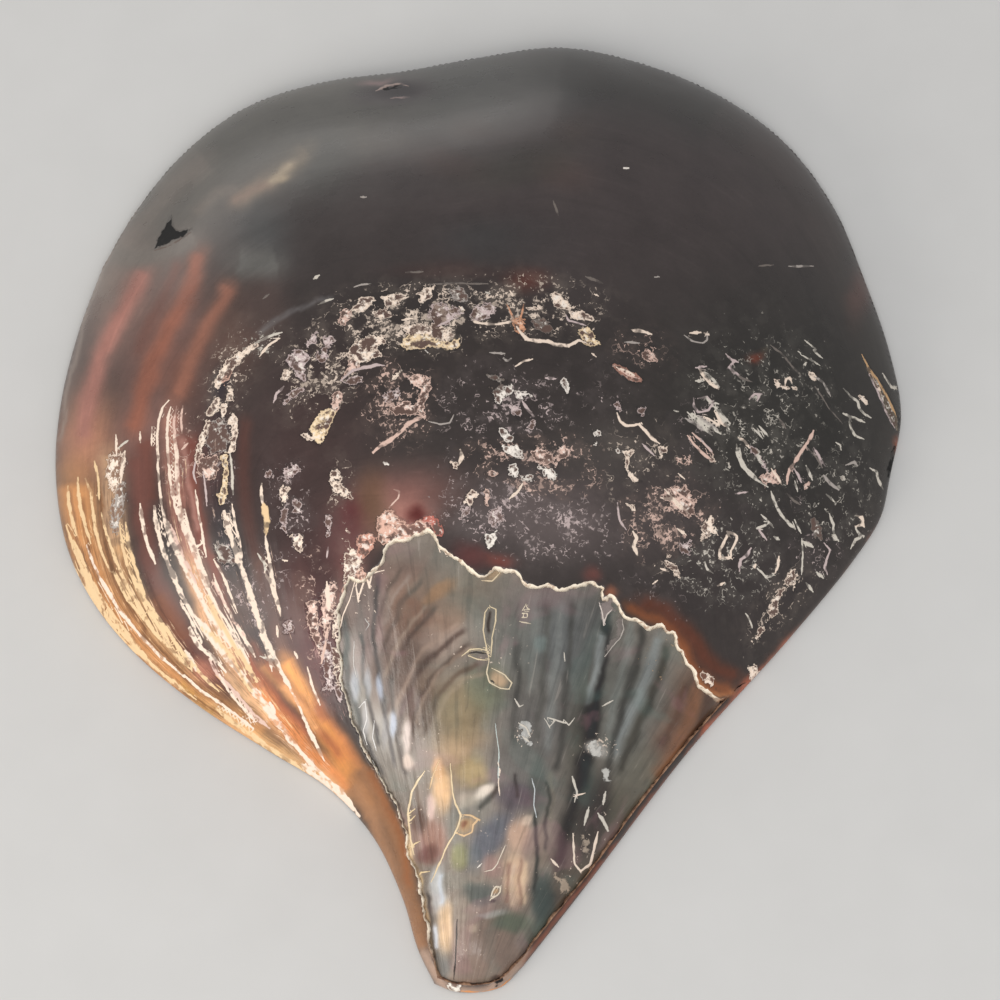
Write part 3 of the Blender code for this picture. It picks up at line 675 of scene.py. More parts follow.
        ("line", "gold", 4.6, [(870, 735), (950, 800), (1040, 858), (1120, 920), (1200, 968), (1290, 1030)]),
        ("line", "cream", 4.0, [(1290, 1010), (1360, 1070), (1430, 1120), (1500, 1180), (1560, 1250)]),
        ("line", "gold", 3.2, [(230, 160), (290, 250), (350, 330), (420, 410), (500, 470), (580, 540), (680, 620), (760, 680)]),
        ("line", "gold", 3.4, [(200, 60), (250, 160), (310, 260), (370, 330), (440, 390), (530, 480)]), ("line", "cream", 3.2, [(300, 90), (360, 200), (430, 300), (520, 400), (600, 480), (700, 570)]),
        ("line", "gold", 3.4, [(360, 60), (420, 180), (500, 280), (580, 380), (660, 460), (740, 540)]), ("line", "gold", 4.0, [(430, 40), (490, 160), (560, 260), (640, 370), (700, 460), (780, 550), (870, 640)]),
        ("line", "cream", 3.0, [(700, 560), (790, 640), (880, 700), (960, 760), (1040, 820)]), ("line", "gold", 2.6, [(160, 20), (200, 110), (250, 210), (330, 310)]),
        ("chip", "pink", 0.45, [(1305, 215), (1345, 200), (1365, 330), (1385, 440), (1360, 440), (1335, 380), (1310, 290)]), ("line", "cream", 3.8, [(1405, 125), (1410, 180), (1415, 240)]),
        ("line", "pink", 3.0, [(1410, 340), (1400, 400), (1380, 500)]), ("chip", "lilac", 0.1, [(1440, 620), (1465, 620), (1480, 660), (1476, 705), (1455, 680)]),
        ("line", "cream", 2.4, [(1310, 530), (1330, 600), (1350, 660), (1370, 705)]), ("chip", "lilac", 0.8, [(1190, 300), (1240, 290), (1240, 350), (1200, 350)]),
        ("line", "cream", 2.6, [(1160, 330), (1165, 370)]), ("line", "cream", 3.0, [(1100, 60), (1130, 110), (1160, 200), (1180, 260)]), ("line", "cream", 2.4, [(1250, 455), (1258, 475)]),
    ]),
    (MIDDLE, [
        ("chip", "cream", 0.35, [(50, 300), (75, 262), (120, 245), (205, 250), (205, 275), (130, 300), (85, 325)]), ("chip", "lilac", 0.6, [(20, 400), (60, 375), (110, 375), (100, 400), (50, 415)]),
        ("line", "lilac", 2.6, [(10, 390), (60, 345), (120, 330), (180, 318), (210, 320)]), ("chip", "cream", 0.3, [(240, 400), (300, 330), (315, 345), (270, 390)]),
        ("chip", "pink", 0.6, [(330, 375), (385, 362), (440, 385), (440, 440), (420, 500), (415, 575), (385, 560), (370, 500), (395, 440), (350, 420)]),
        ("chip", "pink", 0.85, [(240, 520), (300, 495), (380, 510), (380, 560), (270, 565)]), ("chip", "lilac", 0.85, [(200, 470), (280, 440), (300, 470), (220, 500)]),
        ("line", "pink", 3.8, [(168, 742), (200, 712), (250, 688), (300, 645), (330, 610), (370, 588), (412, 572)]), ("line", "grey", 1.6, [(440, 595), (490, 610), (540, 600), (555, 568)]),
        ("chip", "dull", 0.2, [(715, 365), (770, 368), (812, 392), (792, 410), (750, 395)]), ("chip", "dull", 0.6, [(740, 430), (800, 420), (820, 440), (760, 470)]),
        ("chip", "white", 0.5, [(750, 455), (800, 430), (840, 412), (855, 450), (810, 472), (795, 500), (765, 525), (770, 480)]), ("chip", "lilac", 0.35, [(815, 515), (870, 520), (905, 560), (885, 580), (840, 548)]),
        ("chip", "white", 0.5, [(860, 450), (920, 455), (935, 470), (870, 485)]), ("line", "lilac", 2.6, [(895, 500), (920, 540), (945, 565)]), ("chip", "lilac", 0.6, [(910, 620), (945, 590), (962, 610), (930, 632)]),
        ("chip", "white", 0.2, [(778, 625), (802, 628), (846, 670), (842, 697), (805, 690), (785, 660)]), ("chip", "white", 0.15, [(788, 708), (830, 720), (872, 708), (892, 740), (900, 776), (860, 772), (810, 745)]),
        ("chip", "white", 0.3, [(825, 830), (835, 805), (862, 800), (878, 848), (850, 882), (832, 858)]), ("chip", "cream", 0.4, [(540, 790), (575, 788), (580, 825), (555, 832)]), ("line", "cream", 3.2, [(590, 740), (598, 770), (585, 800)]),
        ("chip", "pink", 0.35, [(700, 850), (740, 836), (785, 850), (750, 868)]), ("chip", "white", 0.6, [(880, 870), (955, 858), (940, 888), (900, 885)]),
        ("chip", "pink", 0.6, [(935, 745), (965, 715), (1010, 730), (1045, 760), (1060, 790), (1000, 810), (960, 790)]), ("chip", "pink", 0.45, [(1075, 715), (1108, 708), (1128, 745), (1110, 772), (1080, 775), (1062, 830), (1042, 815), (1065, 760)]),
        ("chip", "white", 0.4, [(975, 820), (1030, 825), (1068, 850), (1052, 885), (1005, 862)]), ("chip", "white", 0.25, [(1080, 400), (1100, 378), (1118, 390), (1125, 442), (1112, 462), (1088, 425)]), ("line", "lilac", 3.0, [(1015, 382), (1050, 385)]),
        ("chip", "cream", 0.4, [(605, 1000), (625, 950), (655, 930), (690, 955), (655, 975), (640, 1005)]), ("chip", "pink", 0.4, [(705, 930), (730, 920), (728, 960), (725, 1010), (708, 1005)]), ("chip", "lilac", 0.75, [(600, 1010), (640, 1010), (620, 1080), (590, 1070)]),
        ("chip", "white", 0.3, [(708, 1140), (735, 1150), (768, 1128), (758, 1200), (725, 1228), (715, 1190)]), ("line", "cream", 2.6, [(890, 905), (870, 940), (835, 970)]), ("chip", "lilac", 0.85, [(730, 1040), (790, 1000), (800, 1080), (750, 1110)]),
        ("chip", (168, 124, 108), 0.1, [(1325, 315), (1370, 318), (1440, 355), (1492, 390), (1475, 404), (1425, 396), (1370, 360)]), ("line", "pink", 1.6, [(1370, 340), (1410, 368), (1450, 380)]), ("line", "cream", 1.4, [(1360, 330), (1400, 345), (1440, 365)]),
        ("line", "cream", 2.6, [(1358, 560), (1372, 595), (1400, 615), (1440, 615), (1470, 605)]), ("line", "cream", 2.8, [(1465, 610), (1500, 645), (1530, 680), (1560, 700)]), ("chip", "pink", 0.85, [(1470, 250), (1530, 240), (1545, 300), (1490, 300)]),
        ("chip", "white", 0.2, [(1340, 728), (1362, 725), (1382, 745), (1362, 750)]), ("chip", "cream", 0.15, [(1385, 740), (1440, 730), (1440, 745), (1418, 780), (1410, 820), (1425, 850), (1455, 870), (1468, 888), (1445, 895), (1412, 862), (1400, 820), (1402, 770)]),
        ("chip", "white", 0.4, [(1240, 640), (1262, 640), (1280, 660), (1270, 672)]), ("chip", "white", 0.5, [(1235, 688), (1255, 690), (1250, 710)]), ("chip", "cream", 0.3, [(1405, 1000), (1445, 1010), (1452, 1040), (1430, 1042)]),
        ("line", "cream", 3.6, [(1440, 1140), (1455, 1165), (1440, 1205), (1455, 1245)]), ("line", "grey", 2.0, [(805, 290), (820, 300), (835, 290)]), ("line", "cream", 2.2, [(865, 322), (900, 300), (937, 290)]),
        ("line", "cream", 2.8, [(1440, 150), (1470, 152), (1505, 160)]), ("line", "pink", 1.8, [(270, 930), (292, 935), (285, 970), (245, 1012)]), ("line", "white", 2.8, [(422, 250), (426, 254)]),
        ("chip", "lilac", 0.75, [(1340, 500), (1370, 500), (1380, 540), (1350, 545)]), ("chip", "lilac", 0.8, [(1450, 525), (1500, 530), (1490, 570), (1460, 555)]), ("line", "lilac", 2.0, [(1360, 1000), (1370, 1080), (1400, 1120)]),
        # translucent remains of the dark layer at the top of the broken border
        ("chip", "peach", 0.35, [(178, 1110), (190, 1060), (215, 1032), (250, 1035), (285, 1075), (330, 1090), (375, 1115), (420, 1105), (440, 1095), (452, 1120), (430, 1140), (380, 1150), (340, 1175), (290, 1180), (250, 1200), (200, 1195)]),
        ("chip", (214, 160, 140), 0.4, [(85, 1160), (115, 1140), (150, 1145), (172, 1165), (165, 1215), (120, 1265), (85, 1280), (82, 1220)]),
        ("chip", (190, 112, 98), 0.3, [(402, 1085), (420, 1055), (455, 1052), (485, 1090), (512, 1135), (495, 1165), (470, 1150), (450, 1110), (430, 1095)]),
        ("dab", (92, 44, 42), 46, 40, 0, 0.9, (372, 1048)), ("dab", (96, 52, 54), 60, 90, 0, 0.7, (60, 1050)),
    ]),
    (RIGHT, [
        ("line", "grey", 1.6, [(330, 30), (370, 60), (420, 65), (440, 50), (442, 20)]), ("line", "cream", 2.6, [(360, 15), (400, 12)]), ("line", "cream", 2.4, [(432, 18), (442, 22)]),
        ("line", "lilac", 2.6, [(540, 125), (560, 150), (590, 162)]), ("line", "lilac", 2.6, [(570, 165), (552, 190), (575, 215), (600, 225)]), ("line", "dull", 2.0, [(580, 215), (620, 245), (665, 260)]),
        ("dab", (118, 64, 50), 44, 20, -18, 1.0, (675, 132)), ("dab", (96, 88, 74), 20, 8, -20, 0.8, (722, 102)),
        ("line", "dull", 1.8, [(765, 80), (830, 130), (870, 185), (910, 225)]), ("line", "silver", 1.8, [(938, 55), (962, 75), (988, 96)]), ("line", "silver", 1.8, [(982, 108), (1018, 138)]),
        ("line", "silver", 1.8, [(920, 130), (965, 150), (1005, 176)]), ("line", "silver", 2.2, [(905, 113), (910, 118)]), ("chip", "silver", 0.2, [(925, 165), (945, 162), (948, 188), (930, 190)]),
        ("chip", "cream", 0.05, [(950, 218), (972, 210), (1000, 235), (990, 256), (962, 252)]), ("line", "grey", 2.2, [(990, 240), (1025, 262), (1045, 295), (1062, 328)]), ("line", "dull", 1.2, [(990, 290), (1060, 400), (1120, 470)]),
        ("chip", "cream", 0.25, [(782, 250), (806, 248), (818, 280), (860, 285), (903, 292), (892, 302), (820, 298), (788, 285)]), ("line", "cream", 2.2, [(835, 275), (838, 248), (860, 240), (868, 262)]),
        ("line", "cream", 3.0, [(400, 200), (425, 235), (455, 270), (492, 296)]), ("line", "silver", 2.4, [(430, 215), (465, 245), (498, 282)]), ("line", "silver", 2.6, [(390, 258), (412, 258)]), ("line", "lilac", 2.4, [(390, 190), (430, 185)]),
        ("line", "lilac", 2.4, [(660, 345), (680, 322), (705, 325), (695, 352)]), ("line", "silver", 2.2, [(280, 408), (288, 410)]),
        ("line", "lilac", 2.0, [(372, 350), (375, 385), (395, 420), (450, 405), (470, 370), (440, 340), (400, 345)]), ("line", "silver", 2.6, [(430, 340), (462, 365), (492, 372)]),
        ("line", "silver", 2.8, [(475, 388), (505, 415), (530, 445), (552, 466)]), ("line", "silver", 2.4, [(500, 430), (530, 470), (552, 500)]), ("line", "cream", 2.0, [(480, 415), (510, 470), (540, 490)]),
        ("line", "silver", 2.4, [(345, 420), (390, 460), (430, 500), (462, 528)]), ("line", "silver", 2.2, [(370, 425), (420, 465), (470, 500), (505, 520)]), ("line", "grey", 2.0, [(335, 450), (380, 475), (420, 505)]), ("line", "cream", 2.2, [(430, 440), (470, 460), (500, 482)]), ("line", "grey", 2.0, [(400, 440), (440, 470), (490, 500)]),
        ("line", "pink", 2.4, [(345, 540), (375, 580), (415, 620), (450, 650), (474, 668)]), ("line", "pink", 2.2, [(370, 525), (410, 560), (445, 595), (468, 625)]), ("line", "lilac", 2.0, [(400, 540), (430, 580), (462, 610)]), ("chip", "cream", 0.4, [(450, 645), (472, 640), (480, 665), (462, 672)]),
        ("chip", "cream", 0.3, [(200, 590), (240, 592), (238, 615), (215, 625), (222, 650), (205, 655)]), ("chip", "pink", 0.8, [(280, 640), (350, 640), (360, 672), (300, 668)]), ("line", "lilac", 2.4, [(118, 578), (150, 610), (170, 632)]),
        ("chip", "pink", 0.72, [(208, 850), (250, 800), (330, 790), (375, 850), (380, 900), (355, 965), (320, 945), (280, 900)]), ("line", "cream", 1.8, [(230, 810), (290, 870), (345, 925)]), ("line", "pink", 1.8, [(260, 800), (330, 850), (372, 880)]), ("line", "cream", 2.4, [(215, 850), (270, 862), (300, 900)]),
        ("line", "silver", 2.6, [(590, 585), (596, 640), (620, 690), (655, 735), (700, 765), (742, 790)]), ("line", "silver", 2.0, [(605, 600), (612, 650), (640, 700), (690, 745)]),
        ("line", "cream", 3.0, [(605, 545), (630, 560), (650, 590)]), ("chip", "lilac", 0.5, [(650, 575), (700, 612), (730, 660), (745, 705), (725, 700), (700, 650), (660, 610)]), ("chip", "silver", 0.2, [(672, 612), (702, 608), (722, 655), (740, 690), (722, 690), (695, 650)]),
        ("chip", "pink", 0.45, [(708, 742), (735, 725), (790, 708), (812, 765), (800, 782), (745, 775), (740, 798), (718, 770)]), ("line", "cream", 2.2, [(770, 705), (800, 745), (815, 775)]),
        ("line", "silver", 2.2, [(678, 500), (718, 545)]), ("line", "silver", 2.2, [(708, 490), (745, 532)]), ("line", "dull", 2.4, [(810, 455), (835, 490)]), ("chip", "silver", 0.5, [(538, 672), (552, 672), (552, 700), (540, 698)]),
        ("line", "silver", 3.0, [(780, 850), (792, 895), (820, 940), (850, 975), (882, 1003)]), ("line", "silver", 2.0, [(765, 822), (780, 870), (810, 925)]), ("line", "silver", 2.0, [(885, 965), (900, 1000), (912, 1022)]), ("line", "dull", 2.4, [(850, 830), (880, 865), (905, 880)]),
        ("line", "pink", 3.4, [(977, 515), (960, 555), (932, 590), (905, 635), (882, 672)]), ("line", "pink", 3.0, [(880, 676), (862, 705), (848, 740), (846, 772)]), ("line", "lilac", 2.0, [(985, 600), (1010, 640), (1035, 682)]), ("line", "dull", 1.6, [(945, 590), (990, 640), (1020, 690)]),
        ("line", "silver", 3.2, [(945, 692), (958, 722), (970, 752)]), ("line", "lilac", 2.2, [(888, 712), (905, 740), (916, 764)]), ("chip", "pink", 0.2, [(925, 785), (945, 770), (965, 765), (950, 805), (932, 808)]), ("line", "silver", 2.4, [(885, 770), (895, 810)]),
        ("line", "grey", 3.2, [(1035, 742), (1062, 775), (1100, 803)]), ("line", "silver", 2.2, [(1098, 572), (1115, 582), (1118, 600)]), ("chip", "silver", 0.4, [(1122, 740), (1138, 735), (1142, 758), (1126, 760)]), ("line", "grey", 2.2, [(1148, 682), (1185, 668), (1195, 680)]),
        ("line", "silver", 2.8, [(1135, 425), (1165, 440), (1200, 450), (1232, 464)]), ("line", "silver", 2.2, [(1160, 462), (1170, 500), (1190, 535), (1226, 550)]), ("line", "silver", 2.2, [(1135, 300), (1165, 335), (1200, 362), (1210, 395), (1235, 425), (1262, 440)]),
        ("chip", "cream", 0.15, [(1205, 325), (1222, 328), (1245, 350), (1256, 385), (1235, 372), (1212, 352)]), ("line", "silver", 2.4, [(1268, 700), (1298, 715), (1305, 760), (1326, 798)]), ("line", "silver", 2.0, [(1048, 835), (1078, 862)]),
        ("chip", (112, 100, 86), 0.05, [(1225, 130), (1262, 200), (1312, 262), (1362, 350), (1400, 440), (1407, 520), (1385, 490), (1345, 410), (1303, 310), (1262, 230)]),
        ("line", "tan", 1.8, [(1225, 130), (1262, 200), (1308, 262), (1355, 345), (1395, 430)]), ("line", "lilac", 1.6, [(1262, 232), (1303, 312), (1345, 410), (1385, 490)]), ("line", "cream", 2.8, [(1308, 295), (1312, 300)]),
        ("line", "silver", 2.0, [(1330, 225), (1352, 255), (1375, 290), (1402, 300)]), ("chip", "silver", 0.1, [(1372, 285), (1398, 285), (1402, 305), (1385, 308)]),
        # black dab and line: painted deep shadow in the hollow at the corner of the hinge and posterior margins
        ("dab", (18, 15, 14), 12, 45, 14, 1.0, (1372, 690)), ("line", (14, 12, 11), 5.0, [(1388, 600), (1380, 650), (1362, 700), (1358, 735)]),
        ("chip", "cream", 0.55, [(440, 960), (462, 945), (475, 985), (495, 1000), (490, 1040), (460, 1030), (440, 1055), (412, 1065), (410, 1000)]),
        ("line", "cream", 2.8, [(548, 1022), (575, 1032), (598, 1044)]), ("line", "cream", 2.6, [(598, 1044), (580, 1085), (560, 1120), (566, 1152)]), ("line", "cream", 2.8, [(548, 1022), (530, 1070), (508, 1110), (502, 1150)]), ("line", "cream", 2.8, [(502, 1145), (530, 1155), (566, 1150)]),
        ("line", "lilac", 3.2, [(660, 1108), (640, 1140), (612, 1162), (605, 1212)]), ("line", "silver", 2.4, [(698, 1000), (742, 982)]), ("line", "silver", 2.2, [(718, 938), (745, 962), (772, 994)]), ("line", "lilac", 2.0, [(700, 1010), (725, 1040), (738, 1056)]), ("line", "silver", 3.4, [(785, 1048), (798, 1056)]),
        ("chip", "dull", 0.55, [(955, 960), (985, 945), (1005, 985), (1030, 1030), (1022, 1062), (985, 1045), (965, 1000)]), ("line", "silver", 2.6, [(1060, 935), (1078, 985), (1080, 1030), (1102, 1062)]), ("chip", "silver", 0.3, [(1072, 1030), (1092, 1040), (1104, 1062), (1085, 1066)]),
        ("line", "cream", 2.6, [(1200, 942), (1222, 948), (1228, 985), (1195, 990)]), ("line", "silver", 2.6, [(1190, 1000), (1205, 1030), (1225, 1040), (1190, 1060), (1168, 1100)]), ("line", "silver", 1.8, [(920, 1060), (924, 1140), (918, 1230)]), ("line", "silver", 3.2, [(930, 1072), (968, 1094)]),
        ("line", "lilac", 2.2, [(1035, 1082), (1062, 1112), (1045, 1160), (1035, 1200), (1045, 1230)]), ("line", "silver", 3.2, [(998, 1228), (1022, 1250)]), ("line", "silver", 2.4, [(945, 1285), (972, 1318)]), ("line", "cream", 2.4, [(803, 1152), (800, 1195), (785, 1228)]), ("chip", "cream", 0.4, [(670, 1180), (690, 1182), (688, 1202), (675, 1200)]),
        ("line", "silver", 2.0, [(432, 1178), (442, 1210), (466, 1226)]), ("chip", "cream", 0.7, [(235, 1140), (270, 1170), (300, 1200), (312, 1250), (280, 1245), (240, 1190)]), ("line", "cream", 2.4, [(212, 1208), (240, 1218)]), ("line", "cream", 2.8, [(500, 1290), (522, 1280)]),
        ("line", "silver", 2.4, [(700, 1210), (740, 1250), (775, 1240)]), ("line", "cream", 2.0, [(172, 1280), (185, 1270)]), ("line", "cream", 2.0, [(300, 730), (322, 750)]), ("line", "lilac", 2.4, [(590, 825), (640, 820)]), ("line", "cream", 2.4, [(295, 1008), (328, 1030)]), ("chip", "lilac", 0.8, [(300, 1080), (360, 1075), (350, 1140), (310, 1130)]),
        ("chip", "cream", 0.68, [(845, 1240), (870, 1205), (890, 1240), (882, 1300), (850, 1290), (820, 1340), (800, 1380), (800, 1430), (770, 1460), (745, 1450), (760, 1380), (800, 1320), (835, 1290)]),
        ("chip", "cream", 0.68, [(720, 1480), (745, 1470), (720, 1530), (700, 1568), (680, 1568), (695, 1520)]), ("line", "silver", 2.0, [(640, 1440), (660, 1470), (668, 1500)]), ("chip", "cream", 0.3, [(870, 1290), (888, 1298), (890, 1325), (875, 1318)]),
    ]),
]

# Crumbs and dust: frame, centre, reach x, reach y, turn, how thick they lie, tone
DARK_DUST = [
    (WHOLE, (420, 318), 96, 36, -4, 0.95, "cream"), (WHOLE, (530, 305), 74, 30, 4, 0.85, "cream"), (WHOLE, (320, 372), 40, 50, 25, 0.85, "cream"),
    (WHOLE, (225, 385), 22, 60, 18, 0.7, "cream"), (WHOLE, (220, 470), 16, 60, -2, 0.6, "lilac"), (WHOLE, (245, 590), 16, 70, -22, 0.75, "lilac"),
    (WHOLE, (398, 400), 44, 50, 0, 0.75, "pink"), (WHOLE, (505, 410), 70, 46, 10, 0.7, "lilac"), (WHOLE, (535, 465), 70, 40, 5, 0.9, "pink"),
    (WHOLE, (500, 505), 64, 38, 0, 0.8, "lilac"), (WHOLE, (555, 530), 74, 36, 0, 0.75, "lilac"), (WHOLE, (470, 470), 40, 26, 0, 0.4, "lilac"),
    (WHOLE, (292, 512), 24, 62, -8, 0.55, "lilac"), (WHOLE, (340, 485), 16, 34, 0, 0.5, "cream"), (WHOLE, (278, 580), 16, 60, -14, 0.5, "lilac"),
    (WHOLE, (318, 610), 22, 74, -6, 0.6, "pink"), (WHOLE, (760, 420), 80, 100, 0, 0.5, "silver"), (WHOLE, (720, 560), 64, 50, 0, 0.6, "silver"), (WHOLE, (835, 500), 46, 80, 10, 0.45, "silver"), (WHOLE, (350, 560), 14, 34, 0, 0.5, "cream"), (WHOLE, (640, 350), 40, 26, 20, 0.4, "pink"),
    (WHOLE, (640, 470), 50, 60, 10, 0.45, "cream"), (WHOLE, (665, 520), 52, 44, 10, 0.85, "pink"), (WHOLE, (680, 560), 46, 34, 10, 0.4, "cream"), (WHOLE, (705, 425), 40, 44, 40, 0.4, "lilac"),
    (WHOLE, (780, 600), 22, 60, 38, 0.5, "cream"), (WHOLE, (800, 480), 70, 60, 0, 0.3, "lilac"), (WHOLE, (740, 500), 60, 50, 0, 0.25, "lilac"), (WHOLE, (820, 545), 40, 40, 0, 0.4, "lilac"),
    (WHOLE, (660, 590), 60, 24, 20, 0.3, "lilac"), (WHOLE, (590, 400), 60, 50, 0, 0.3, "lilac"), (WHOLE, (440, 425), 50, 40, 0, 0.3, "lilac"), (WHOLE, (180, 450), 20, 50, 0, 0.5, "pink"),
    (WHOLE, (790, 370), 60, 40, 0, 0.25, "lilac"), (WHOLE, (255, 345), 26, 20, -35, 0.6, "silver"),
]

# How thickly the worn edges of the growth lamellae lie: half width, thickness, tone, points
LAMELLAE = [
    (25, 0.80, (238, 190, 140), [(78, 505), (90, 560), (112, 606), (146, 646), (186, 682), (230, 714), (275, 742)]),
    (16, 0.80, (232, 196, 160), [(106, 470), (112, 520), (126, 570), (146, 612), (176, 652), (214, 690)]),
    (14, 0.75, (244, 206, 172), [(172, 440), (176, 500), (188, 555), (206, 605), (230, 652), (262, 702), (300, 748), (340, 790)]),
    (12, 0.85, (246, 206, 156), [(206, 615), (232, 655), (264, 704), (296, 742)]),
    (10, 0.50, (226, 196, 176), [(216, 400), (212, 450), (219, 505), (234, 560), (252, 612), (272, 660)]),
    (9, 0.55, (226, 190, 172), [(228, 600), (248, 640), (262, 668)]),
    (8, 0.75, (250, 200, 150), [(220, 712), (262, 740), (304, 768), (340, 796)]),
    (7, 0.45, (226, 196, 176), [(270, 530), (276, 590), (290, 650), (310, 706), (328, 750)]),
    (13, 0.42, (216, 176, 168), [(310, 590), (316, 640), (330, 690), (346, 730)]),
    (10, 0.40, (240, 180, 120), [(262, 690), (300, 730), (340, 775)]),
]

# How the lines of growth run: the stretch of the margin's own shape that each keeps on the
# posterior side (1 is the margin), and where it runs on the ventral side.
APEX = (457.0, 1053.0)
GROWTH = [
    (1.00, [(60, 440), (66, 530), (88, 597), (125, 646), (166, 688), (214, 722), (262, 750), (312, 778), (346, 802), (376, 838), (398, 884), (412, 922), (428, 966)]),
    (0.86, [(126, 452), (128, 525), (142, 587), (163, 628), (200, 668), (252, 711), (300, 750), (346, 798), (380, 842), (402, 888), (416, 926), (430, 964)]),
    (0.82, [(158, 420), (159, 473), (162, 505), (169, 548), (184, 600), (204, 650), (240, 698), (286, 744), (332, 786), (370, 834)]),
    (0.79, [(186, 405), (184, 460), (186, 520), (199, 560), (216, 602), (237, 650), (272, 705), (306, 750), (345, 794)]),
    (0.77, [(213, 385), (199, 440), (199, 470), (206, 520), (224, 580), (248, 634), (284, 696), (316, 744), (352, 792)]),
    (0.73, [(240, 400), (236, 440), (230, 500), (244, 568), (266, 640), (295, 700), (326, 752), (358, 790)]),
    (0.64, [(262, 470), (264, 510), (273, 560), (284, 620), (304, 680), (330, 734), (364, 790)]),
    (0.50, [(340, 600), (338, 650), (350, 715), (382, 780), (408, 853), (426, 920)]),
]

